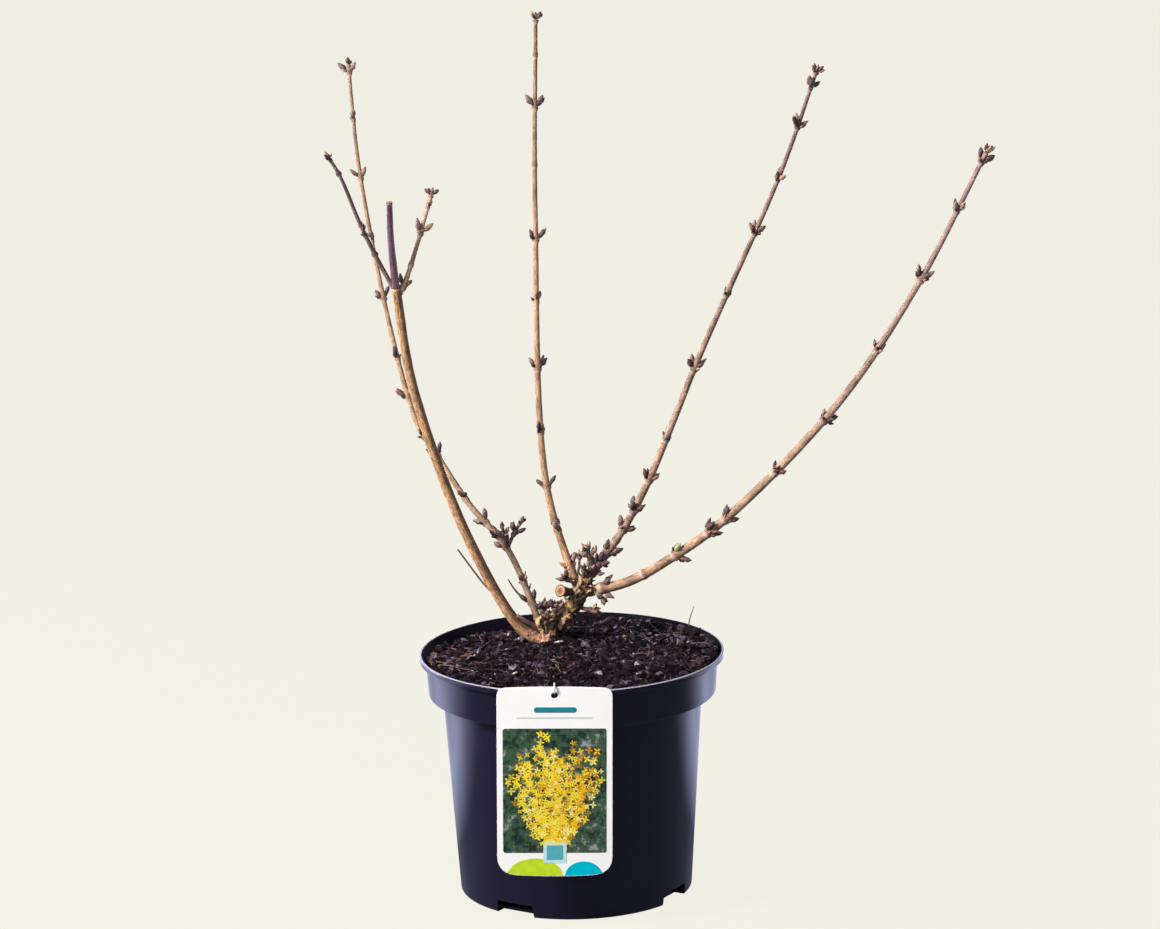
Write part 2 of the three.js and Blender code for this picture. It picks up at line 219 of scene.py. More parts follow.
class ShaderSheet:
    """A material's node tree, filled by short calls."""

    def __init__(self, name: str) -> None:
        """Starts an empty material with a surface shader.

        Args:
            name: Its name.
        """
        self.material = bpy.data.materials.new(name)
        self.material.use_nodes = True
        self.tree = self.material.node_tree
        self.shader = self.tree.nodes["Principled BSDF"]

    def add(self, kind: str, **values: object) -> Node:
        """Adds a node and sets its properties and sockets.

        Args:
            kind: The node's type without the ShaderNode prefix.
            **values: Properties by their name, or sockets with spaces written as underscores.

        Returns:
            The new node.
        """
        node = self.tree.nodes.new("ShaderNode" + kind)
        for name, value in values.items():
            if hasattr(node, name):
                setattr(node, name, value)
            else:
                node.inputs[name.replace("_", " ")].default_value = value
        return node

    def link(self, source: NodeSocket, target: NodeSocket) -> None:
        """Joins an output to an input."""
        self.tree.links.new(source, target)

    def place(self, scale: Place = (1, 1, 1)) -> NodeSocket:
        """Reads a piece's own coordinates, stretched.

        Args:
            scale: The stretch along each axis.

        Returns:
            The coordinates.
        """
        coordinates = self.add("TexCoord")
        mapping = self.add("Mapping")
        mapping.inputs["Scale"].default_value = scale
        self.link(coordinates.outputs["Object"], mapping.inputs["Vector"])
        return mapping.outputs["Vector"]

    def attribute(self, name: str, output: str = "Fac") -> NodeSocket:
        """Returns what a piece's attribute holds."""
        return self.add("Attribute", attribute_name=name).outputs[output]

    def noise(
        self, where: NodeSocket, scale: float, detail: float = 3, rough: float = 0.55
    ) -> NodeSocket:
        """Adds cloudy noise.

        Args:
            where: The coordinates.
            scale: How fine it is.
            detail: Its octaves.
            rough: How strong the finer octaves are.

        Returns:
            The noise, from 0 to 1.
        """
        clouds = self.add("TexNoise", Scale=scale, Detail=detail, Roughness=rough)
        self.link(where, clouds.inputs["Vector"])
        return clouds.outputs["Fac"]

    def ramp(self, factor: NodeSocket, stops: Sequence[tuple[float, Colour]]) -> NodeSocket:
        """Returns a colour picked along stops by a factor.

        Args:
            factor: What picks the colour.
            stops: Positions from 0 to 1 and their colours.

        Returns:
            The colour socket.
        """
        node = self.add("ValToRGB")
        band = node.color_ramp
        while len(band.elements) < len(stops):
            band.elements.new(0.5)
        for element, (position, colour) in zip(band.elements, stops):
            element.position = position
            element.color = (*colour, 1)
        self.link(factor, node.inputs["Fac"])
        return node.outputs["Color"]

    def mask(
        self, factor: NodeSocket, low: float, high: float, dark: float = 0, light: float = 1
    ) -> NodeSocket:
        """Returns a grey ramp, dark up to a low factor and light from a high one on."""
        return self.ramp(factor, ((low, (dark,) * 3), (high, (light,) * 3)))

    def blend(self, factor: object, first: object, second: object, mode: str = "MIX") -> NodeSocket:
        """Mixes two colours, each a socket or a plain colour.

        Args:
            factor: A socket or a number.
            first: The colour at factor 0.
            second: The colour at factor 1.
            mode: The way they mix, by the node's own name for it.

        Returns:
            The mixed colour's socket.
        """
        node = self.add("Mix", data_type="RGBA", blend_type=mode)
        for index, value in ((0, factor), (6, first), (7, second)):
            if isinstance(value, NodeSocket):
                self.link(value, node.inputs[index])
            elif index == 0:
                node.inputs[index].default_value = value
            else:
                node.inputs[index].default_value = (*value, 1)
        return node.outputs[2]

    def stretch(self, value: NodeSocket, low: float, high: float, first: float, last: float) -> NodeSocket:
        """Stretches a value from one range to another, and holds it there.

        Args:
            value: The value.
            low: Where its range begins.
            high: Where its range ends.
            first: What its low end becomes.
            last: What its high end becomes.

        Returns:
            The stretched value.
        """
        node = self.add("MapRange", From_Min=low, From_Max=high, To_Min=first, To_Max=last)
        self.link(value, node.inputs["Value"])
        return node.outputs["Result"]

    def sum_of(self, first: NodeSocket, second: object, way: str = "ADD") -> NodeSocket:
        """Adds two values, or puts them together another way.

        Args:
            first: The first value.
            second: A socket or a number.
            way: How, by the node's own name for it.

        Returns:
            The outcome.
        """
        node = self.add("Math", operation=way)
        self.link(first, node.inputs[0])
        if isinstance(second, NodeSocket):
            self.link(second, node.inputs[1])
        else:
            node.inputs[1].default_value = second
        return node.outputs[0]

    def bump(self, height: NodeSocket, strength: float, distance: float) -> None:
        """Raises the surface by a height.

        Args:
            height: The height.
            strength: How strongly it shades.
            distance: The full height in metres.
        """
        node = self.add("Bump", Strength=strength, Distance=distance)
        self.link(height, node.inputs["Height"])
        self.link(node.outputs["Normal"], self.shader.inputs["Normal"])

    def paint(self, colour: NodeSocket, roughness: NodeSocket | None = None) -> None:
        """Sends a colour, and a roughness if there is one, to the shader.

        Args:
            colour: The colour.
            roughness: The roughness.
        """
        self.link(colour, self.shader.inputs["Base Color"])
        if roughness is not None:
            self.link(roughness, self.shader.inputs["Roughness"])


@dataclass(frozen=True)
class BarkFinish:
    """Bark that runs from its colour at the foot of a cane to its colour at the tip."""

    name: str
    foot: Colour
    middle: Colour
    tip: Colour
    streak: Colour
    fleck: Colour
    gloss: float = 0.5
    specular: float = 0.42
    root_shade: float = 0.0
    side_shade: float = 0.0

    def make(self) -> Material:
        """Makes the bark: streaks along the stem, pale flecks, darker joints, and painted shade near the foot
        and on the side facing away from the key light.

        Returns:
            The material.
        """
        sheet = ShaderSheet(self.name)
        set_sockets(sheet.shader, {"Specular IOR Level": self.specular})
        along = sheet.attribute("bark", "Vector")
        age = sheet.attribute("age")
        joint = sheet.attribute("joint")
        base = sheet.ramp(age, ((0.0, self.foot), (0.5, self.middle), (1.0, self.tip)))
        streaks = sheet.mask(sheet.noise(along, 2.4, 4, 0.6), 0.42, 0.72)
        worn = sheet.blend(streaks, base, self.streak)
        patches = sheet.mask(sheet.noise(sheet.place(), 95, 3), 0.38, 0.62, 0.66, 1.14)
        mottled = sheet.blend(1.0, worn, patches, "MULTIPLY")
        spots = sheet.mask(sheet.noise(along, 9.0, 2, 0.4), 0.66, 0.72)
        flecked = sheet.blend(sheet.sum_of(spots, 0.65, "MULTIPLY"), mottled, self.fleck)
        collared = sheet.blend(sheet.sum_of(joint, 0.55, "MULTIPLY"), flecked, self.streak)
        scar = sheet.attribute("scar")
        jointed = sheet.blend(sheet.sum_of(scar, 0.5, "MULTIPLY"), collared, self.fleck)
        # Painted shade: the bark darkens towards the limb's foot, where the crown shades it, and on its side
        # facing away from the key light.
        dark = tuple(0.55 * c for c in self.streak)
        for layer, strength, colour in (("root", self.root_shade, dark), ("side_shade_mask", self.side_shade, self.streak)):
            painted_shade = sheet.sum_of(sheet.attribute(layer), strength, "MULTIPLY")
            jointed = sheet.blend(painted_shade, jointed, colour)
        fine = sheet.noise(along, 5.0, 5, 0.65)
        sheet.paint(jointed, sheet.stretch(fine, 0, 1, self.gloss - 0.08, self.gloss + 0.22))
        sheet.bump(fine, 0.55, 0.0004)
        return sheet.material


@dataclass(frozen=True)
class GnarlFinish:
    """Old bark of the crown, ochre with dark cracks and a little moss."""

    name: str
    light: Colour
    dark: Colour
    moss: Colour
    ground: Colour
    fresh: Colour

    def make(self) -> Material:
        """Makes the old bark: mossy at its bend, reddish at the ground, and with painted shade on the side
        facing away from the key light.

        Returns:
            The material.
        """
        sheet = ShaderSheet(self.name)
        set_sockets(sheet.shader, {"Specular IOR Level": 0.3, "Roughness": 0.75})
        cracks = sheet.noise(sheet.place((300, 300, 110)), 1.0, 6, 0.75)
        pale = tuple(min(1.0, 1.7 * c) for c in self.light)
        base = sheet.ramp(cracks, ((0.43, self.dark), (0.50, self.light), (0.64, pale)))
        grounded = sheet.ramp(cracks, ((0.42, self.dark), (0.50, self.ground), (0.62, self.fresh)))
        rooted = sheet.blend(sheet.attribute("ground"), base, grounded)
        growth = sheet.mask(sheet.noise(sheet.place(), 160, 4, 0.6), 0.40, 0.54)
        bent = sheet.sum_of(sheet.attribute("bend"), growth, "MULTIPLY")
        mossy = sheet.blend(bent, rooted, self.moss)
        # Painted shade: the crown's side facing away from the key light is darkened.
        painted_shade = sheet.attribute("painted_shade")
        sheet.paint(sheet.blend(sheet.sum_of(painted_shade, 0.9, "MULTIPLY"), mossy, self.dark))
        sheet.bump(cracks, 0.9, 0.001)
        return sheet.material


@dataclass(frozen=True)
class GrainFinish:
    """A plain base colour with fine cloudy grain, for things too small for a pattern."""

    name: str
    colour: Colour
    roughness: float = 0.7
    contrast: float = 0.35
    scale: float = 600
    specular: float = 0.35
    bump: float = 0.3
    depth: float = 0.0003

    def make(self) -> Material:
        """Makes the grained material.

        Returns:
            The material.
        """
        sheet = ShaderSheet(self.name)
        set_sockets(sheet.shader, {"Roughness": self.roughness, "Specular IOR Level": self.specular})
        grain = sheet.noise(sheet.place(), self.scale, 3)
        dark = tuple(c * (1 - self.contrast) for c in self.colour)
        light = tuple(min(1.0, c * (1 + self.contrast)) for c in self.colour)
        sheet.paint(sheet.ramp(grain, ((0.35, dark), (0.65, light))))
        sheet.bump(grain, self.bump, self.depth)
        return sheet.material


def grained(prefix: str, tones: Iterable[Enum], *grain: float) -> list[Material]:
    """Makes a grained material of each tone.

    Args:
        prefix: What the materials' names begin with.
        tones: The tones, whose values are colours.
        *grain: The roughness, contrast, scale, specular level, bump and depth.

    Returns:
        The materials, in the order of the tones.
    """
    return [GrainFinish(prefix + tone.name.lower(), tone.value, *grain).make() for tone in tones]


@dataclass(frozen=True)
class MouldedFinish:
    """Glossy moulded plastic with a faint ripple and handling marks in its gloss."""

    name: str
    colour: Colour
    roughness: float = 0.13
    ripple: float = 0.05
    specular: float = 0.35

    def make(self) -> Material:
        """Makes the moulded plastic.

        Returns:
            The material.
        """
        sheet = ShaderSheet(self.name)
        set_sockets(sheet.shader, {"Specular IOR Level": self.specular})
        marks = sheet.noise(sheet.place((40, 40, 12)), 1.0, 4, 0.55)
        dust = sheet.noise(sheet.place(), 500, 3)
        rough = sheet.stretch(marks, 0.35, 0.7, self.roughness, self.roughness + 0.1)
        pale = tuple(c * 1.5 + 0.002 for c in self.colour)
        specks = sheet.sum_of(marks, dust, "MULTIPLY")
        sheet.paint(sheet.ramp(specks, ((0.3, self.colour), (0.5, pale))), rough)
        sheet.bump(sheet.noise(sheet.place((1, 1, 0.3)), 45, 1), self.ripple, 0.0008)
        return sheet.material


# Where a bark gives them, its last two numbers are the strengths of its painted shade: near the foot, and on
# the side facing away from the key light.
OCHRE_BARK = BarkFinish(
    "ochre_bark", (0.90, 0.50, 0.27), (0.68, 0.42, 0.19), (0.60, 0.375, 0.21),
    (0.105, 0.048, 0.037), (0.80, 0.66, 0.50), 0.55, 0.2, 0.45, 0.68,
)
STRAW_BARK = BarkFinish(
    "straw_bark", (0.59, 0.335, 0.165), (0.69, 0.43, 0.235), (0.23, 0.13, 0.105),
    (0.14, 0.065, 0.043), (0.80, 0.66, 0.54), 0.5, 0.25, 0.0, 0.25,
)
ROSE_BARK = BarkFinish(
    "rose_bark", (0.52, 0.32, 0.18), (0.57, 0.375, 0.25), (0.40, 0.26, 0.245),
    (0.17, 0.08, 0.062), (0.78, 0.66, 0.60), 0.5, 0.28,
)
SPUR_BARK = BarkFinish(
    "spur_bark", (0.22, 0.13, 0.11), (0.23, 0.14, 0.11), (0.22, 0.13, 0.105),
    (0.045, 0.026, 0.026), (0.5, 0.38, 0.28),
)
REAR_BARK = BarkFinish(
    "rear_bark", (0.64, 0.45, 0.33), (0.64, 0.41, 0.225), (0.18, 0.105, 0.095),
    (0.16, 0.085, 0.06), (0.80, 0.68, 0.58), 0.5, 0.25, 0.9, 0.45,
)
PLUM_BARK = BarkFinish(
    "plum_bark", (0.29, 0.185, 0.165), (0.24, 0.135, 0.13), (0.20, 0.115, 0.115),
    (0.07, 0.035, 0.04), (0.66, 0.54, 0.50), 0.45, 0.5, 0.0, 0.3,
)
# This bark's darker foot is painted shadow on the lower cane.
SHADED_FOOT_BARK = BarkFinish(
    "shaded_foot_bark", (0.35, 0.20, 0.12), (0.58, 0.375, 0.265), (0.24, 0.15, 0.145),
    (0.095, 0.045, 0.042), (0.78, 0.66, 0.60), 0.5, 0.28, 0.92, 0.3,
)
STUB_BARK = BarkFinish(
    "stub_bark", (0.20, 0.085, 0.105), (0.18, 0.08, 0.10), (0.16, 0.075, 0.095),
    (0.05, 0.02, 0.035), (0.42, 0.3, 0.3), 0.34, 0.7,
)
DRY_BARK = BarkFinish(
    "dry_bark", (0.48, 0.34, 0.19), (0.27, 0.20, 0.13), (0.08, 0.07, 0.065),
    (0.05, 0.04, 0.035), (0.3, 0.25, 0.2), 0.7,
)
OLD_BARK = GnarlFinish(
    "crown_bark", (0.46, 0.29, 0.16), (0.040, 0.022, 0.021), (0.46, 0.32, 0.075),
    (0.40, 0.19, 0.10), (0.80, 0.50, 0.37),
)
POT_BLACK = MouldedFinish("pot_black", (0.0075, 0.0055, 0.019))
POT_INSIDE = MouldedFinish("pot_inside", (0.005, 0.004, 0.012), 0.55, 0.05, 0.06)
# The pale lilac on the top of the lip is a painted highlight: the gloss of the rim mirroring the bright wall
# behind.
POT_RIM_SHEEN = MouldedFinish("pot_rim_sheen", (0.36, 0.34, 0.46), 0.3, 0.05, 0.3)
HOOK_PALE = MouldedFinish("hook_pale", (0.62, 0.62, 0.58), 0.3)


# -------- the plant's lines


class Route:
    """A smooth curve through a few places, measured along its length."""

    DIVISIONS = 200
    NUDGE = 0.0001

    def __init__(self, places: Sequence[Place]) -> None:
        """Lays the curve and measures it.

        Args:
            places: The places that it passes, in millimetres.
        """
        self.places = [Vector(place) for place in places]
        steps = [self._at(i / self.DIVISIONS) for i in range(self.DIVISIONS + 1)]
        spans = [(b - a).length for a, b in zip(steps, steps[1:])]
        self.lengths = np.concatenate(([0.0], np.cumsum(spans)))
        self.length = float(self.lengths[-1])

    def _at(self, time: float) -> Vector:
        """Works out a place in the centripetal way.

        Args:
            time: How far through the given places, from 0 to 1.

        Returns:
            The place.
        """
        count = len(self.places)
        spot = time * (count - 1)
        index = min(int(spot), count - 2)
        weight = spot - index
        start, end = self.places[index], self.places[index + 1]
        before = self.places[index - 1] if index > 0 else 2 * start - end
        after = self.places[index + 2] if index + 2 < count else 2 * end - start
        spans = ((before, start), (start, end), (end, after))
        first, second, third = [(b - a).length_squared ** 0.25 for a, b in spans]
        middle = (end - start) / second
        leave = ((start - before) / first - (end - before) / (first + second) + middle) * second
        arrive = (middle - (after - start) / (second + third) + (after - end) / third) * second
        square = -3 * start + 3 * end - 2 * leave - arrive
        cube = 2 * start - 2 * end + leave + arrive
        return start + leave * weight + square * weight**2 + cube * weight**3

    def _time(self, share: float) -> float:
        """Returns the time at a share of the length."""
        times = np.linspace(0, 1, self.DIVISIONS + 1)
        return float(np.interp(share * self.length, self.lengths, times))

    def point(self, share: float) -> Vector:
        """Returns the place at a share of the length."""
        return self._at(self._time(share))

    def tangent(self, share: float) -> Vector:
        """Works out the curve's direction.

        Args:
            share: The share of the length.

        Returns:
            The direction, one unit long.
        """
        time = self._time(share)
        before, after = max(time - self.NUDGE, 0), min(time + self.NUDGE, 1)
        return (self._at(after) - self._at(before)).normalized()


@dataclass(frozen=True)
class Taper:
    """A limb's radius at its foot, above its flare and at its tip, in millimetres."""

    foot: float
    low: float
    tip: float
    power: float = 1
    flare: float = 1


@dataclass(frozen=True)
class NodePlan:
    """Where a limb's buds stand: the first node's share, then the lengths between nodes.

    A side of a node bears from at_node's first to its last number of buds, which fan out by spread
    degrees. The first pair is turned from the sides by turn, and the buds of blind nodes have dropped.
    """

    start: float
    internodes: tuple[float, ...]
    at_node: tuple[int, int]
    spread: float
    turn: float
    seed: int
    blind: tuple[int, ...] = ()


@dataclass(frozen=True)
class Bud:
    """One bud: its node, its root on the stem, its direction and its length in millimetres."""

    node: int
    root: Vector
    direction: Vector
    length: float


@dataclass
class Limb:
    """A tapering limb with its route, its colours' ages and its buds."""

    places: Sequence[Place]
    taper: Taper
    plan: NodePlan | None = None
    age: tuple[float, float] = (0.0, 1.0)
    route: Route = field(init=False)

    BUD_LENGTH = 8.6
    BUD_TILT = 34
    BUD_SINK = 1.1
    BUD_DEEPEST = 0.65
    BUD_SHORTEST = 0.78
    BUD_LONGER = 0.4
    FAN_STRAY = 24
    TILT_STRAY = 22
    TIP_SCALE = 0.7
    TIP_REACH = 5.2

    def __post_init__(self) -> None:
        """Measures the route once."""
        self.route = Route(self.places)

    def frame_at(self, share: float) -> tuple[Vector, Vector, Vector, Vector]:
        """Works out the limb's middle and its directions.

        Args:
            share: The share of the length.

        Returns:
            The middle, and the directions along, right and out of the limb.
        """
        along = self.route.tangent(share)
        side = along.cross(Vector((0, -1, 0))).normalized()
        return self.route.point(share), along, side, side.cross(along)

    def radius_at(self, share: float) -> float:
        """Works out the limb's thickness.

        Args:
            share: The share of the length.

        Returns:
            The radius in millimetres.
        """
        taper, distance = self.taper, share * self.route.length
        body = taper.tip + (taper.low - taper.tip) * (1 - share) ** taper.power
        return body + (taper.foot - taper.low) * exp(-distance / taper.flare)

    @property
    def wood_end(self) -> float:
        """The share of the route at which the wood ends and the last bud goes on."""
        return 1 - self.TIP_REACH / self.route.length if self.plan else 1.0

    def node_shares(self) -> list[float]:
        """Works out where the nodes stand.

        Returns:
            Each node's share of the length.
        """
        if not self.plan:
            return []
        grown = np.concatenate(([0.0], np.cumsum(self.plan.internodes)))
        reach = self.wood_end - self.plan.start
        return [float(self.plan.start + reach * g / grown[-1]) for g in grown]

    def turn_at(self, node: int) -> float:
        """Returns the angle of a node's first side, each at right angles to the last node's."""
        return radians(self.plan.turn + 90 * node)

    def buds(self) -> list[Bud]:
        """Grows the buds: opposite clusters, each pair at right angles to the last.

        Returns:
            The buds, with one more on the tip.
        """
        if not self.plan:
            return []
        plan, draws, buds = self.plan, Draws(self.plan.seed), []
        shares = self.node_shares()
        for node, share in enumerate(shares):
            point, along, side, front = self.frame_at(share)
            scale = self.TIP_SCALE if node == len(shares) - 1 else 1.0
            for half in () if node in plan.blind else (0.0, pi):
                low, high = plan.at_node
                count = low + int(draws.draw() * (high - low + 1))
                for index in range(count):
                    fan = (index - (count - 1) / 2) * plan.spread + (draws.draw() - 0.5) * self.FAN_STRAY
                    angle = self.turn_at(node) + half + radians(fan)
                    tilt = radians(self.BUD_TILT + (draws.draw() - 0.5) * self.TILT_STRAY)
                    grown = self.BUD_SHORTEST + self.BUD_LONGER * draws.draw()
                    length = self.BUD_LENGTH * grown * scale
                    out = side * cos(angle) + front * sin(angle)
                    direction = along * cos(tilt) + out * sin(tilt)
                    radius = self.radius_at(share)
                    root = point + out * (radius - min(self.BUD_SINK, radius * self.BUD_DEEPEST))
                    buds.append(Bud(node, root, direction, length))
        point, along, _, _ = self.frame_at(self.wood_end)
        length = self.BUD_LENGTH * self.TIP_SCALE
        root = point + along * (self.TIP_REACH - length)
        buds.append(Bud(len(shares), root, along, length))
        return buds


# Every limb that has a solid, by name and along that solid's places.
LIMBS = {
    "foot": Limb(
        [(-15, 36, 144), (-15, 36, 152), (-13, 36, 161), (-11, 36, 167)], Taper(10.5, 6.9, 5.4, 1, 5),
    ),
    "crown": Limb(
        [(-9, 36, 158), (-2, 36, 167), (3.5, 36, 176), (10, 36, 190)], Taper(4.2, 6.4, 5.1, 1, 6),
    ),
    "knob": Limb([(4, 36, 179), (-2, 30, 182), (-6, 25, 184)], Taper(3.2, 3.0, 3.9)),
    "left": Limb(
        [(-17, 36, 149), (-30, 35, 156), (-63, 24, 219), (-94, 1, 322), (-102, -16, 387)],
        Taper(5.2, 3.35, 2.8, 1, 11), age=(0.0, 0.42),
    ),
    "left_stub": Limb(
        [(-102, -16, 387), (-104, -21, 417), (-104, -25, 441)], Taper(2.5, 2.5, 1.9), age=(0.3, 1),
    ),
    "left_outer": Limb(
        [(-102, -15, 384), (-111, -18, 402), (-122, -24, 428), (-133, -31, 459), (-141, -35, 474)],
        Taper(1.6, 1.5, 1.0, 1, 4), NodePlan(0.28, (13, 42, 10), (1, 2), 36, 0, 11, (0, 2)), (0.2, 1),
    ),
    "left_inner": Limb(
        [(-100, -15, 383), (-96, -14, 391), (-89, -11, 411), (-83, -8, 430), (-78, -5, 447)],
        Taper(1.8, 1.6, 1.1, 1, 4), NodePlan(0.07, (15, 21, 17, 8), (1, 2), 36, 0, 12, (1,)), (0.25, 0.7),
    ),
    "left_rear": Limb(
        [(-17, 39, 152), (-39, 43, 207), (-63, 49, 236), (-84, 56, 269),
         (-93, 59, 283), (-107, 69, 332), (-127, 93, 442), (-133, 110, 512)],
        Taper(3.1, 2.15, 1.0, 1.0, 9),
        NodePlan(0.057, (14, 25, 8, 12, 20, 32, 15, 26, 26, 39, 37, 40, 37, 30, 5), (1, 2), 40, 0, 21),
        (0.1, 0.9),
    ),
    "left_rear_spur": Limb(
        [(-39, 43, 208), (-35, 41, 217), (-28, 40, 229)],
        Taper(1.3, 1.2, 0.9), NodePlan(0.45, (9,), (1, 2), 60, 0, 23), (0.4, 0.8),
    ),
    "centre": Limb(
        [(2, 38, 188), (-14, 44, 251), (-17, 69, 414), (-14, 93, 540)],
        Taper(3.4, 2.4, 1.2, 1.05, 9),
        NodePlan(0.022, (25, 29, 34, 41, 42, 39, 47, 36, 33, 22), (1, 2), 34, 0, 31, (7, 9)), (0.15, 1),
    ),
    "right_middle": Limb(
        [(9, 36, 187), (28, 33, 212), (47, 28, 246), (84, 8, 339), (133, -22, 455), (155, -42, 522)],
        Taper(3.6, 2.7, 1.1, 1.1, 9),
        NodePlan(0.02, (8, 9, 10, 8, 14, 24, 30, 51, 54, 45, 38, 37, 27, 11), (1, 3), 56, 0, 41, (3,)),
        (0.3, 1),
    ),
    "right_low": Limb(
        [(7, 36, 180), (36, 34, 186.5), (67, 36, 203), (98, 37, 225),
         (170, 42, 297), (221, 48, 371), (266, 54, 456)],
        Taper(3.6, 3.25, 1.45, 0.9, 10),
        NodePlan(0.034, (28, 23, 25, 14, 43, 45, 55, 52, 48, 34, 7), (1, 3), 56, 0, 51, (1,)), (0.2, 1),
    ),
    "crown_spur": Limb(
        [(15, 34, 194), (13, 31, 203), (10, 29, 213)],
        Taper(1.7, 1.5, 1.1), NodePlan(0.5, (8,), (1, 2), 70, 0, 61), (0.4, 0.8),
    ),
    "low_spur": Limb(
        [(4, 36, 171), (10, 33, 169.5), (18, 30, 169)],
        Taper(1.8, 1.5, 1.1), NodePlan(0.5, (7,), (1, 2), 70, 90, 62), (0.4, 0.8),
    ),
    "foot_spur": Limb(
        [(-14, 35, 160), (-17, 33, 168), (-18, 32, 176)],
        Taper(2.4, 2.0, 1.3), NodePlan(0.6, (6,), (1, 2), 80, 0, 63), (0.4, 0.8),
    ),
    "dry_twig": Limb([(-44, 31, 177), (-54, 30, 188), (-70, 26, 212)], Taper(0.9, 0.8, 0.5)),
    "thorn": Limb([(-29, 40, 175), (-35, 38, 182), (-39, 37, 189)], Taper(0.9, 0.8, 0.4)),
}


# The short twigs too fine for solids, each within the reach of one that has a solid.
FINER_LIMBS = {
    "left_rear_prong": Limb(
        [(-39, 42, 208), (-41, 40, 216), (-42, 38, 225)],
        Taper(1.1, 1.0, 0.8), NodePlan(0.5, (7,), (1, 1), 40, 0, 71), (0.4, 0.8),
    ),
    "foot_prong": Limb(
        [(-12, 32, 163), (-10, 30, 170), (-8, 29, 177)],
        Taper(1.9, 1.6, 1.1), NodePlan(0.5, (6,), (1, 2), 80, 0, 72), (0.4, 0.8),
    ),
    "foot_tuft": Limb(
        [(-15, 31, 156), (-15, 27, 163), (-14, 25, 169)],
        Taper(1.8, 1.5, 1.0), NodePlan(0.5, (6,), (1, 2), 80, 90, 73), (0.4, 0.8),
    ),
    "knob_tuft": Limb(
        [(3, 34, 186), (-2, 31, 190), (-6, 30, 194)],
        Taper(1.2, 1.1, 0.9), NodePlan(0.5, (4,), (1, 1), 70, 0, 74), (0.4, 0.8),
    ),
    "under_tuft": Limb(
        [(14, 33, 182), (19, 31, 178), (23, 29, 175)],
        Taper(1.2, 1.1, 0.9), NodePlan(0.45, (5,), (1, 1), 70, 90, 75), (0.4, 0.8),
    ),
    "centre_spike": Limb(
        [(5, 36, 192), (6, 34, 200), (6, 33, 209)],
        Taper(1.0, 0.9, 0.7), NodePlan(0.7, (3,), (0, 1), 70, 0, 76), (0.4, 0.8),
    ),
    "old_stub": Limb(
        [(-19, 33, 156), (-24, 30, 160.5), (-29, 28, 164.5), (-34, 28, 168)],
        Taper(2.2, 1.8, 1.2), age=(0.0, 0.3),
    ),
    "rear_spike_low": Limb(
        [(-27, 41, 177), (-26, 41, 181), (-25, 41, 185)], Taper(0.9, 0.8, 0.4), age=(0.4, 0.8),
    ),
    "rear_spike_high": Limb(
        [(-32, 42, 185), (-29, 42, 189), (-28, 42, 193)], Taper(0.9, 0.8, 0.4), age=(0.4, 0.8),
    ),
    "crown_tuft": Limb(
        [(8, 33, 190), (9, 30, 196), (9, 29, 201)],
        Taper(1.3, 1.1, 0.9), NodePlan(0.5, (4,), (0, 1), 70, 0, 77), (0.4, 0.8),
    ),
}


# -------- bark


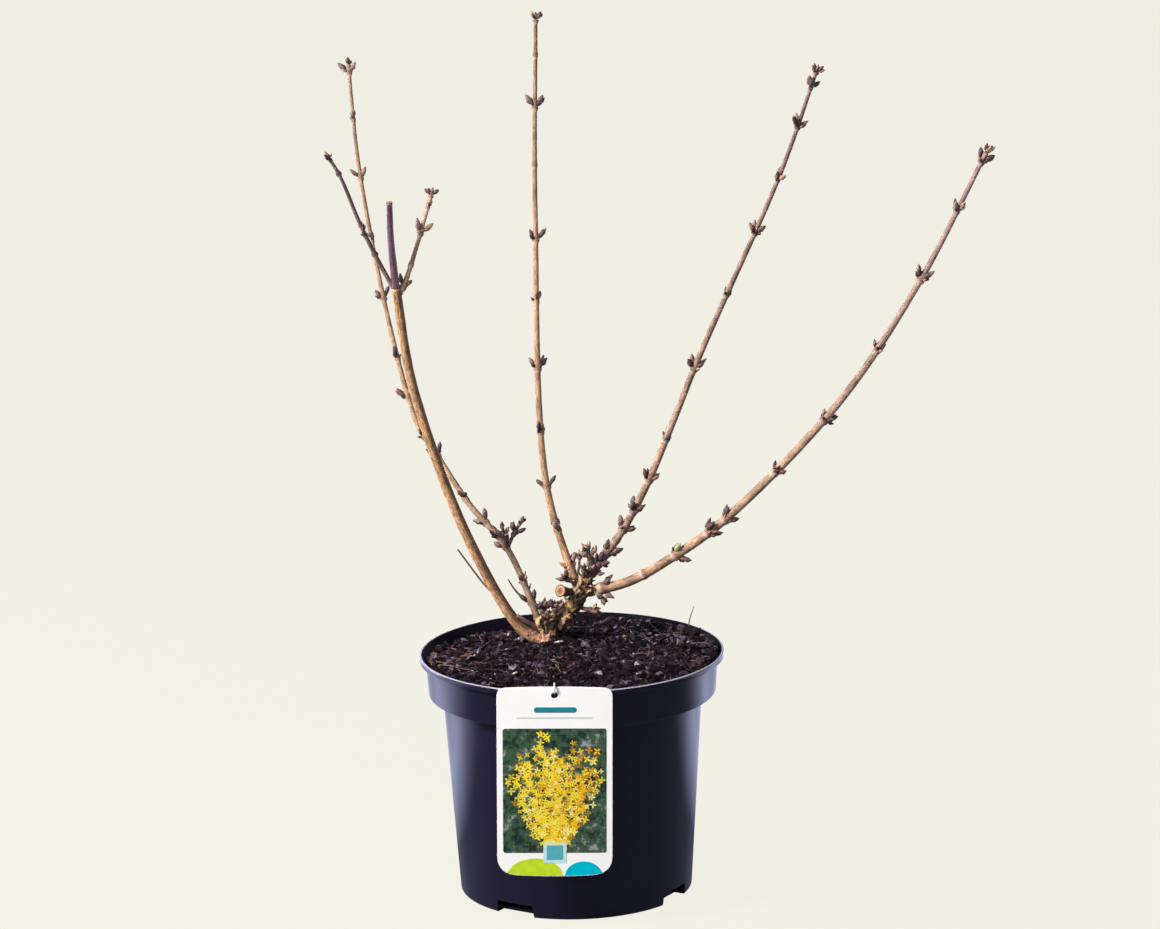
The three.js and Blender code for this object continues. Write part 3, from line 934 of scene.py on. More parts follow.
@dataclass
class Stem:
    """A limb's bark, rolled from a flat sheet and raised at its joints."""

    limb: Limb
    sides: int = 16
    step: float = 1.2
    swelling: float = 0.42
    shoulder: float = 0.55
    groove: float = 0.14
    joint_reach: float = 6
    roughness: float = 0.045
    # How far up the limb the painted shade at its foot reaches, and where and how wide its painted shadow
    # band is, in millimetres.
    root_shade_reach: float = 26
    shadow_band_height: float = 60
    shadow_band_width: float = 22

    def relief(self, share: float, angle: float) -> float:
        """Returns how far the bark stands out of the plain limb, in millimetres.

        Args:
            share: The share of the limb's length.
            angle: The angle round it.

        Returns:
            The relief, negative where the bark sinks.
        """
        limb = self.limb
        distance = share * limb.route.length
        radius = limb.radius_at(share)
        around = Vector((cos(angle), sin(angle), 0))
        seed = Vector((0, 0, limb.places[0][0]))
        slow = noise.noise(around * 0.7 + seed + Vector((0, 0, distance / 13)))
        ridged = noise.noise(around * 2.6 + seed + Vector((0, 0, distance / 5)))
        raised = radius * (self.roughness * slow + 0.5 * self.roughness * ridged)
        for node, where in enumerate(limb.node_shares()):
            gap = distance - where * limb.route.length
            if abs(gap) > self.joint_reach:
                continue
            facing = cos(angle - limb.turn_at(node))
            raised += self.swelling * bell(gap, 1.7)
            raised += self.shoulder * facing**4 * bell(gap + 0.6, 1.3)
            raised -= self.groove * bell(gap + 2.6, 0.5)
        return raised

    def joint_at(self, share: float) -> tuple[float, float]:
        """Works out how near a place is to a joint.

        Args:
            share: The share of the length.

        Returns:
            The nearness to its dark collar and to the pale ring below it, from 0 to 1.
        """
        gaps = [(share - where) * self.limb.route.length for where in self.limb.node_shares()]
        if not gaps:
            return 0.0, 0.0
        gap = min(gaps, key=abs)
        return bell(gap - 0.9, 1.5), bell(gap + 1.9, 0.75)

    def roll(self, mesh: BMesh, first: float = 0.0, last: float = 1.0) -> None:
        """Adds a stretch of the limb to a bmesh as one closed tube.

        Args:
            mesh: The bmesh that takes it.
            first: The share of the limb at which it starts.
            last: The share at which it ends.
        """
        limb = self.limb
        last = min(last, limb.wood_end)
        steps = max(4, round((last - first) * limb.route.length / self.step))
        sheet = bmesh.ops.create_grid(mesh, x_segments=steps, y_segments=self.sides, size=1)["verts"]
        bark = mesh.verts.layers.float_vector["bark"]
        age, joint, scar, root, side_shade_mask = (mesh.verts.layers.float[layer] for layer in BARK_LAYERS)
        rings: dict[int, tuple] = {}
        for vert in sheet:
            ring = round((vert.co.x + 1) / 2 * steps)
            share = first + (last - first) * ring / steps
            if ring not in rings:
                rings[ring] = (*limb.frame_at(share), limb.radius_at(share), *self.joint_at(share))
            point, _, side, front, radius, collar, ring_scar = rings[ring]
            angle = (vert.co.y + 1) * pi
            reach = radius + self.relief(share, angle)
            out = side * cos(angle) + front * sin(angle)
            vert.co = (point + out * reach) * MM
            vert[bark] = (cos(angle) * 1.2, sin(angle) * 1.2, share * limb.route.length / 9)
            vert[age] = limb.age[0] + (limb.age[1] - limb.age[0]) * share
            vert[joint] = collar
            vert[scar] = ring_scar
            # Painted shade: darker near the limb's foot, and on the side facing +X, away from the key light,
            # most of all in a painted shadow band some 60 mm up the limb.
            distance = share * limb.route.length
            vert[root] = bell(distance, self.root_shade_reach)
            painted_shadow_band = 0.3 * bell(distance - self.shadow_band_height, self.shadow_band_width)
            vert[side_shade_mask] = clamped((out.x - 0.05 + painted_shadow_band) / 0.6)
        bmesh.ops.remove_doubles(mesh, verts=sheet, dist=1e-6)
        rims = [edge for edge in mesh.edges if edge.is_boundary]
        bmesh.ops.holes_fill(mesh, edges=rims, sides=0)


def bark_sheet() -> BMesh:
    """Starts an empty bmesh with the bark's attributes.

    Returns:
        The bmesh.
    """
    mesh = bmesh.new()
    mesh.verts.layers.float_vector.new("bark")
    for layer in BARK_LAYERS:
        mesh.verts.layers.float.new(layer)
    return mesh


# -------- heaps of small things


@dataclass
class Shape:
    """A small shape that a heap repeats, around the origin and along +Z."""

    points: np.ndarray
    faces: list[list[int]]

    @classmethod
    def from_bmesh(cls, mesh: BMesh) -> "Shape":
        """Reads a bmesh.

        Args:
            mesh: The bmesh, which is freed.

        Returns:
            The shape.
        """
        mesh.verts.ensure_lookup_table()
        mesh.verts.index_update()
        points = np.array([vert.co[:] for vert in mesh.verts])
        faces = [[vert.index for vert in face.verts] for face in mesh.faces]
        mesh.free()
        return cls(points, faces)


class Heap:
    """Many copies of small shapes, joined in one piece."""

    def __init__(self, name: str) -> None:
        """Starts an empty heap.

        Args:
            name: The piece's name.
        """
        self.name = name
        self.points: list[np.ndarray] = []
        self.faces: list[list[int]] = []
        self.tones: list[int] = []
        self.count = 0

    def add(self, shape: Shape, place: Matrix, tone: int = 0) -> None:
        """Adds a copy of a shape.

        Args:
            shape: The shape.
            place: Its place, turn and size, in metres.
            tone: The index of its material.
        """
        turn = np.array(place.to_3x3())
        self.points.append(shape.points @ turn.T + np.array(place.translation))
        self.faces.extend([index + self.count for index in face] for face in shape.faces)
        self.tones.extend([tone] * len(shape.faces))
        self.count += len(shape.points)

    def build(self, materials: Sequence[Material]) -> Object:
        """Joins the heap.

        Args:
            materials: Its materials, in the order of its tones.

        Returns:
            The linked object.
        """
        data = bpy.data.meshes.new(self.name)
        data.from_pydata(np.concatenate(self.points).tolist(), [], self.faces)
        for material in materials:
            data.materials.append(material)
        data.polygons.foreach_set("material_index", self.tones)
        data.update()
        return linked(self.name, data)


def turned(place: Vector, direction: Vector, size: Sequence[float], roll: float = 0.0) -> Matrix:
    """Returns the matrix that stands a shape on a place along a direction.

    Args:
        place: Where its origin goes, in metres.
        direction: Where its +Z points.
        size: Its size along its own three axes, in metres.
        roll: Its turn round its own axis.

    Returns:
        The matrix.
    """
    turn = direction.to_track_quat("Z", "Y").to_matrix().to_4x4()
    spin = Matrix.Rotation(roll, 4, "Z")
    return Matrix.Translation(place) @ turn @ spin @ Matrix.Diagonal((*size, 1))


# -------- buds


class BudTone(Enum):
    """The plain base colours of the buds."""

    DARK = (0.080, 0.042, 0.044)
    BROWN = (0.150, 0.084, 0.068)
    ROSE = (0.27, 0.17, 0.15)
    TAN = (0.37, 0.25, 0.165)
    GREEN = (0.38, 0.45, 0.19)


@dataclass
class BudShapes:
    """The scaly winter buds, closed and on a short stalk."""

    around: int = 8
    rings: int = 9
    stalk: float = 0.30
    stalk_share: float = 0.2

    def profile(self, share: float, fat: float) -> float:
        """Works out how thick a bud is.

        Args:
            share: The share of its length.
            fat: How low its fattest part lies.

        Returns:
            The radius, where 1 is its fattest.
        """
        if share <= self.stalk_share:
            return self.stalk * (1.15 - 0.6 * share)
        along = (share - self.stalk_share) / (1 - self.stalk_share)
        body = sin(pi * min(along**fat, 1.0)) ** 0.8
        return max(self.stalk * (1 - along) ** 2, body)

    def bud(self, fat: float, scales: float) -> Shape:
        """Models one bud a unit long.

        Args:
            fat: How low its fattest part lies.
            scales: How far its overlapping scales stand out.

        Returns:
            The bud.
        """
        mesh = bmesh.new()
        bmesh.ops.create_uvsphere(mesh, u_segments=self.around, v_segments=self.rings, radius=1)
        for vert in mesh.verts:
            share = acos(max(-1, min(1, -vert.co.z))) / pi
            angle = atan2(vert.co.y, vert.co.x)
            flat = hypot(vert.co.x, vert.co.y)
            pair = cos(2 * angle) * cos(share * 4 * pi)
            radius = self.profile(share, fat) * (1 + scales * pair) if flat > 1e-6 else 0
            vert.co = (radius * cos(angle), radius * sin(angle), share)
        return Shape.from_bmesh(mesh)

    def all(self) -> list[Shape]:
        """Returns the slim, the plump and the loosening bud."""
        return [self.bud(0.8, 0.14), self.bud(0.68, 0.18), self.bud(0.95, 0.24)]


@dataclass
class WinterBuds:
    """Every bud on the plant, joined in one piece in plain base colours."""

    radius_share: float = 0.185
    seed: int = 907
    green_limb: str = "right_low"
    green_node: int = 2
    crowded: tuple[str, ...] = ("right_middle", "right_low")
    old_scales: int = 46
    young_sizes: Range = (3.4, 5.6)
    old_sizes: Range = (2.6, 4.6)
    tilts: Range = (30, 62)
    stray: float = 62

    TONES = ((0.38, BudTone.DARK), (0.68, BudTone.BROWN), (0.85, BudTone.ROSE))

    def tone_of(self, draw: float) -> BudTone:
        """Picks a bud's colour.

        Args:
            draw: A draw from 0 to 1.

        Returns:
            The colour.
        """
        for share, tone in self.TONES:
            if draw < share:
                return tone
        return BudTone.TAN

    def stand(
        self, heap: Heap, shape: Shape, root: Vector, direction: Vector, length: float, swell: float,
        roll: float, tone: BudTone,
    ) -> None:
        """Stands one bud on its root.

        Args:
            heap: The buds that it joins.
            shape: Its shape.
            root: Where it grows out, in millimetres.
            direction: Where it points.
            length: Its length in millimetres.
            swell: How fat it is.
            roll: Its turn round its own axis.
            tone: Its colour.
        """
        radius = length * self.radius_share * swell * MM
        place = turned(root * MM, direction, (radius, radius, length * MM), roll)
        heap.add(shape, place, list(BudTone).index(tone))

    def scales_at(
        self, heap: Heap, limb: Limb, share: float, angle: float, draws: Draws, size: float
    ) -> None:
        """Adds one small outer bud or scale to a limb's bark.

        Args:
            heap: The buds that it joins.
            limb: The limb.
            share: The share of the limb's length.
            angle: The angle round it.
            draws: The draws that vary it.
            size: Its length in millimetres.
        """
        point, along, side, front = limb.frame_at(share)
        out = side * cos(angle) + front * sin(angle)
        tilt = radians(draws.between(*self.tilts))
        direction = along * cos(tilt) + out * sin(tilt)
        root = point + out * (limb.radius_at(share) - 0.7)
        shape = BudShapes().bud(0.8, 0.2) if size > 4 else BudShapes().bud(0.6, 0.25)
        tone = self.tone_of(draws.draw())
        self.stand(heap, shape, root, direction, size, 1.1, draws.between(0, tau), tone)

    def build(self, limbs: dict[str, Limb]) -> Object:
        """Stands every bud on its limb.

        Args:
            limbs: The limbs that bear them.

        Returns:
            The joined buds.
        """
        heap, draws, shapes = Heap("winter_buds"), Draws(self.seed), BudShapes().all()
        for name, limb in limbs.items():
            opening = name == self.green_limb
            for bud in limb.buds():
                tone = self.tone_of(draws.draw())
                shape = shapes[int(draws.draw() * len(shapes))]
                swell = draws.between(0.85, 1.15)
                roll = draws.between(0, tau)
                if opening and bud.node == self.green_node and bud.direction.z > 0.8:
                    tone, opening, swell = BudTone.GREEN, False, 1.1
                self.stand(heap, shape, bud.root, bud.direction, bud.length, swell, roll, tone)
            for node, share in enumerate(limb.node_shares()):
                if node in limb.plan.blind:
                    continue
                extra = 3 if name in self.crowded else 1
                for half in (0.0, pi):
                    for index in range(extra):
                        angle = limb.turn_at(node) + half
                        angle += radians(draws.between(-self.stray, self.stray))
                        self.scales_at(heap, limb, share, angle, draws, draws.between(*self.young_sizes))
        for name, first, last in (("crown", 0.2, 0.96), ("foot", 0.62, 1.0)):
            for _ in range(self.old_scales if name == "crown" else self.old_scales // 4):
                share, angle = draws.between(first, last), draws.between(0, tau)
                self.scales_at(heap, limbs[name], share, angle, draws, draws.between(*self.old_sizes))
        return heap.build(grained("bud_", BudTone, 0.5, 0.4, 700, 0.35, 0.0003, 0.5))


# -------- the plant


@dataclass
class Plant:
    """The shrub: crown, canes, twigs, buds and the cut faces of pruned wood."""

    limbs: dict[str, Limb] = field(default_factory=LIMBS.copy)
    finer: dict[str, Limb] = field(default_factory=FINER_LIMBS.copy)
    crown_voxel: float = 0.55
    crown_smoothings: int = 3
    crown_join: float = 13
    crown_ground: float = 160
    crown_lump: float = 0.95
    crown_crack: float = 0.6
    crown_pit: float = 0.3
    lenticels_per_metre: int = 330

    BURLS = (
        ([(-16, 33, 153), (-19, 31, 160), (-20, 30, 166)], Taper(3.6, 3.2, 2.4)),
        ([(-12, 32, 154), (-11, 30, 161), (-11, 30, 168)], Taper(3.4, 3.0, 2.2)),
        ([(-8, 33, 158), (-5, 32, 161), (-3, 32, 164)], Taper(2.8, 2.4, 1.8)),
        ([(-2, 36, 166), (1, 33, 171), (2, 31, 175)], Taper(2.6, 2.2, 1.6)),
        ([(6, 36, 178), (11, 33, 181), (14, 32, 183)], Taper(2.8, 2.3, 1.6)),
    )
    RINGS = (
        (0.13, 0.055, 0.035), (0.30, 0.12, 0.06), (0.33, 0.16, 0.085), (0.46, 0.30, 0.18),
        (0.17, 0.095, 0.065),
    )
    CANES = {
        "left": ("cane_left", "bark_tan", OCHRE_BARK, ("bough_left",)),
        "left_outer": ("twig_left_outer", "budded_twigs", PLUM_BARK, ("twigs_left_outer",)),
        "left_inner": ("twig_left_inner", "budded_twigs", ROSE_BARK, ("twigs_left_inner",)),
        "left_rear": ("cane_left_rear", "bark_tan", REAR_BARK, ("bough_left_rear", "twigs_left_rear")),
        "centre": ("cane_centre", "bark_tan", STRAW_BARK, ("bough_centre", "twigs_centre")),
        "right_middle": (
            "cane_right_middle", "bark_tan", SHADED_FOOT_BARK, ("bough_right_middle", "twigs_right_middle"),
        ),
        "right_low": ("cane_right_low", "bark_tan", ROSE_BARK, ("bough_right_low", "twigs_right_low")),
        "left_rear_spur": ("twig_spur_left_rear", "budded_twigs", SPUR_BARK, ("spur_left_rear",)),
        "crown_spur": ("twig_spur_crown", "budded_twigs", SPUR_BARK, ("spur_crown",)),
        "low_spur": ("twig_spur_low", "budded_twigs", SPUR_BARK, ("spur_low",)),
        "foot_spur": ("twig_spur_foot", "budded_twigs", SPUR_BARK, ("spur_foot",)),
        "left_stub": ("pruned_stub", "bark_dark", STUB_BARK, ("stub_left",)),
        "dry_twig": ("dead_twig", "dry_wood", DRY_BARK, ("dry_twig",)),
        "thorn": ("dead_thorn", "dry_wood", DRY_BARK, ("thorn_twig",)),
    }

    def bark_piece(self, name: str, limbs: Sequence[Limb], material: Material) -> Object:
        """Rolls the bark of one or more limbs into one piece.

        Args:
            name: The piece's name.
            limbs: The limbs.
            material: Their bark.

        Returns:
            The piece.
        """
        mesh = bark_sheet()
        for limb in limbs:
            Stem(limb).roll(mesh)
        face_outwards(mesh)
        return piece_from(name, mesh, [material])

    def crown(self) -> Object:
        """Fuses the foot, the crown limb, the pruned knob and the burls into one gnarled piece.

        Returns:
            The dressed piece.
        """
        mesh = bark_sheet()
        for name in ("foot", "crown"):
            Stem(self.limbs[name], roughness=0.16).roll(mesh)
        Stem(Limb(self.limbs["knob"].places, Taper(2.6, 2.0, 3.7, 0.6)), roughness=0.1).roll(mesh)
        for places, taper in self.BURLS:
            Stem(Limb(places, taper), roughness=0.2).roll(mesh)
        for name in ("left", "left_rear", "centre", "right_middle", "right_low"):
            limb = self.limbs[name]
            Stem(limb, roughness=0.08).roll(mesh, 0.0, self.crown_join / limb.route.length)
        face_outwards(mesh)
        piece = piece_from("crown_wood", mesh, [])
        remesh = piece.modifiers.new("fuse", "REMESH")
        remesh.mode = "VOXEL"
        remesh.voxel_size = self.crown_voxel * MM
        piece = applied(piece)
        mesh = bmesh.new()
        mesh.from_mesh(piece.data)
        for _ in range(self.crown_smoothings):
            bmesh.ops.smooth_vert(
                mesh, verts=mesh.verts[:], factor=0.5, use_axis_x=True, use_axis_y=True, use_axis_z=True
            )
        mesh.normal_update()
        layers = mesh.verts.layers.float
        painted_shade, ground, bend = layers.new("painted_shade"), layers.new("ground"), layers.new("bend")
        for vert in mesh.verts:
            spot = vert.co / MM
            lump = noise.fractal(spot / 3.2, 0.8, 2.1, 4)
            grain = Vector((spot.x, spot.y, spot.z * 0.3))
            crack = min(abs(noise.noise(grain / 1.3)), 0.22) / 0.22
            hollow = noise.noise(spot / 2.6)
            # Painted shade: vertices facing +X and downwards, away from the key light, are darkened, broken
            # up by noise.
            facing = 0.9 * vert.normal.x - 0.25 * vert.normal.z + 0.75 * hollow
            vert[painted_shade] = clamped((facing - 0.06) / 0.42)
            vert[ground] = clamped((self.crown_ground + 5 * hollow - spot.z) / 5)
            near = exp(-(((spot.z - 170) / 5) ** 2) - ((spot.x - 3) / 6) ** 2)
            vert[bend] = 1.3 * near * clamped(0.9 - vert.normal.x)
            pitted = noise.fractal(spot / 1.4, 0.9, 2.0, 2)
            raised = self.crown_lump * lump - self.crown_crack * (1 - crack) + self.crown_pit * pitted
            vert.co += vert.normal * raised * MM
        mesh.to_mesh(piece.data)
        mesh.free()
        piece.data.materials.append(OLD_BARK.make())
        return dress(piece, ("crown_foot", "crown_limb"))

    def cut_face(self, name: str, limb: Limb, share: float, bulge: float) -> Object:
        """Closes a pruned end with rings of wood.

        Args:
            name: The piece's name.
            limb: The pruned limb.
            share: Where on it the cut lies.
            bulge: How far the middle stands out, in millimetres.

        Returns:
            The cut face.
        """
        point, along, _, _ = limb.frame_at(share)
        radius = limb.radius_at(share)
        mesh = bmesh.new()
        bmesh.ops.create_circle(mesh, cap_ends=True, segments=24, radius=1)
        for index in range(4):
            top = max(mesh.faces, key=lambda face: face.calc_center_median().z - face.calc_area() * 1e-3)
            bmesh.ops.inset_region(mesh, faces=[top], thickness=0.2, use_boundary=True, use_even_offset=True)
            for vert in top.verts:
                vert.co.z = 0.1 * (index + 1)
        for face in mesh.faces:
            face.material_index = min(int(face.calc_center_median().xy.length * 5), 4)
        wide = radius * MM * 1.04
        place = turned((point + along * 0.45) * MM, along, (wide, wide, bulge * MM * 2))
        bmesh.ops.transform(mesh, matrix=place, verts=mesh.verts[:])
        bmesh.ops.solidify(mesh, geom=mesh.faces[:], thickness=0.0003)
        materials = [
            GrainFinish(f"{name}_ring_{index}", tone, 0.75, 0.3, 1500).make()
            for index, tone in enumerate(self.RINGS)
        ]
        face_outwards(mesh)
        return dress(piece_from(name, mesh, materials))

    def lenticels(self) -> Object:
        """Scatters the small pale pores over the canes.

        Returns:
            The dressed pores.
        """
        grain = bmesh.new()
        bmesh.ops.create_icosphere(grain, subdivisions=1, radius=1)
        shape, heap, draws = Shape.from_bmesh(grain), Heap("lenticels"), Draws(404)
        for name in ("left", "left_rear", "centre", "right_middle", "right_low", "left_outer", "left_inner"):
            limb = self.limbs[name]
            for _ in range(int(limb.route.length * MM * self.lenticels_per_metre)):
                share, angle = draws.between(0.03, limb.wood_end), draws.between(0, tau)
                point, along, side, front = limb.frame_at(share)
                out = side * cos(angle) + front * sin(angle)
                reach = limb.radius_at(share) + Stem(limb).relief(share, angle)
                width = draws.between(0.16, 0.3)
                size = (width * MM, 0.14 * MM, width * draws.between(1.2, 2.2) * MM)
                turn = Matrix((out.cross(along), out, along)).transposed().to_4x4()
                place = Matrix.Translation((point + out * reach) * MM) @ turn @ Matrix.Diagonal((*size, 1))
                heap.add(shape, place)
        pores = GrainFinish("lenticel_cork", (0.62, 0.44, 0.28), 0.85, 0.3, 1400)
        return dress(heap.build([pores.make()]))

    def build(self) -> None:
        """Builds the whole plant."""
        barks: dict[str, Material] = {}
        self.crown()
        for limb, (name, slot, bark, nodes) in self.CANES.items():
            if bark.name not in barks:
                barks[bark.name] = bark.make()
            dress(self.bark_piece(name, [self.limbs[limb]], barks[bark.name]), nodes)
        finer = self.bark_piece("fine_twigs", list(self.finer.values()), barks[SPUR_BARK.name])
        dress(finer)
        self.cut_face("knob_cut", self.limbs["knob"], 1.0, 0.9)
        self.cut_face("stub_cut", self.limbs["left_stub"], 1.0, 0.25)
        self.lenticels()
        dress(WinterBuds().build({**self.limbs, **self.finer}))


# -------- the pot


@dataclass
class NurseryPot:
    """The stepped round nursery pot with a rolled lip and notches in its base edge, in millimetres."""

    height: float = 152
    lip_radius: float = 95
    lip_drop: float = 3.6
    lip_crest: float = 2.2
    lip_width: float = 5.5
    band_top: float = 91
    band_foot: float = 89.5
    band_height: float = 26
    body_top: float = 80.8
    base: float = 72.8
    wall: float = 1.6
    floor: float = 2.2
    segments: int = 144
    notch_count: int = 4
    notch_angle: float = -122
    notch_width: float = 29
    notch_height: float = 8
    notch_depth: float = 9
    notch_lean: float = 0.86
    # How far below the top the lip takes its painted highlight.
    worn: float = 1.2
    sharp_angle: float = 38

    def profile(self) -> list[tuple[float, float, float]]:
        """Lists the section's corners.

        Returns:
            The radius, the height and the rounding of each corner.
        """
        shoulder = self.height - self.band_height
        return [
            (0, 0, 0),
            (self.base - 0.2, 0, 1.6),
            (self.body_top, shoulder, 0.9),
            (self.band_foot, shoulder + 0.4, 1.3),
            (self.band_top, self.height - self.lip_drop, 0.8),
            (self.lip_radius, self.height - self.lip_drop, 0.9),
            (self.lip_radius, self.height, 1.1),
            (self.lip_radius - self.lip_crest, self.height, 0.9),
            (self.band_top - self.wall, self.height - self.lip_width, 1.5),
            (self.band_foot - self.wall, shoulder + self.wall, 0.8),
            (self.body_top - self.wall, shoulder + self.wall, 1.0),
            (self.base - self.wall, self.floor, 1.5),
            (0, self.floor, 0),
        ]

    @staticmethod
    def rounded(corners: Sequence[tuple[float, float, float]], steps: int = 5) -> list[Vector]:
        """Rounds a section's corners by short curves.

        Args:
            corners: Radius, height and rounding of each corner.
            steps: The points on each rounded corner.

        Returns:
            The section's points.
        """
        line = []
        for index, (radius, height, rounding) in enumerate(corners):
            here = Vector((radius, 0, height))
            if rounding == 0:
                line.append(here)
                continue
            before = Vector((corners[index - 1][0], 0, corners[index - 1][1]))
            after = Vector((corners[index + 1][0], 0, corners[index + 1][1]))
            start = here + (before - here).normalized() * min(rounding, (before - here).length / 2.2)
            end = here + (after - here).normalized() * min(rounding, (after - here).length / 2.2)
            for step in range(steps + 1):
                t = step / steps
                line.append(start * (1 - t) ** 2 + here * 2 * t * (1 - t) + end * t**2)
        return line

    def shell(self) -> Object:
        """Spins the section into the pot's wall and floor.

        Returns:
            The bare shell.
        """
        mesh = bmesh.new()
        line = [point * MM for point in self.rounded(self.profile())]
        spin_line(mesh, line, self.segments, 1e-6)
        face_outwards(mesh)
        return piece_from("pot_shell", mesh, [])

    def notch_blocks(self) -> Object:
        """Makes the blocks that cut the drainage notches, slanted at their sides.

        Returns:
            The blocks as one object.
        """
        mesh = bmesh.new()
        for index in range(self.notch_count):
            block = bmesh.ops.create_cube(mesh, size=1)["verts"]
            for vert in block:
                lean = self.notch_lean if vert.co.z > 0 else 1.0
                vert.co = Vector((
                    (self.base + vert.co.x * 2 * self.notch_depth) * MM,
                    vert.co.y * self.notch_width * lean * MM,
                    vert.co.z * 2 * self.notch_height * MM,
                ))
            turn = Matrix.Rotation(radians(self.notch_angle + 360 * index / self.notch_count), 4, "Z")
            bmesh.ops.transform(mesh, matrix=turn, verts=block)
        return piece_from("notch_blocks", mesh, [])

    def build(self) -> None:
        """Builds the notched pot in its black plastic, with a painted highlight on the top of its lip."""
        shell, blocks = self.shell(), self.notch_blocks()
        cut = shell.modifiers.new("notches", "BOOLEAN")
        cut.object = blocks
        cut.operation = "DIFFERENCE"
        cut.solver = "EXACT"
        shell = applied(shell)
        bpy.data.objects.remove(blocks)
        shell.data.materials.clear()
        for finish in (POT_BLACK, POT_INSIDE, POT_RIM_SHEEN):
            shell.data.materials.append(finish.make())
        for face in shell.data.polygons:
            inward = face.normal.xy.dot(face.center.xy) < 0
            # Faces on the top of the lip take the painted highlight.
            high = face.center.z > (self.height - self.worn) * MM
            rim = face.normal.z > 0.4 and not inward and high
            face.material_index = 2 if rim else int(inward and face.center.z > self.floor * MM)
        dress(shell, ("pot",))
        shell.data.set_sharp_from_angle(angle=radians(self.sharp_angle))


# -------- the compost


class Crumb(Enum):
    """The plain base colours of the compost's crumbs and shreds."""

    BLACK = (0.008, 0.0035, 0.006)
    DARK = (0.020, 0.0105, 0.018)
    UMBER = (0.040, 0.021, 0.029)
    MAUVE = (0.088, 0.058, 0.088)
    RED = (0.14, 0.064, 0.050)
    STRAW = (0.26, 0.18, 0.10)
    PALE = (0.66, 0.54, 0.50)
    ROSE = (0.30, 0.17, 0.16)
    # Pale lilac crumbs, more of them towards the right back, are partly painted glints of the wet compost.
    LILAC = (0.25, 0.20, 0.30)

    def gloss(self) -> tuple[float, float, float, float]:
        """Returns the tone's roughness, contrast, grain scale and specular level: the mauves are wet."""
        wet = self in (Crumb.MAUVE, Crumb.LILAC)
        return (0.34, 0.5, 800, 0.5) if wet else (0.6, 0.5, 800, 0.1)


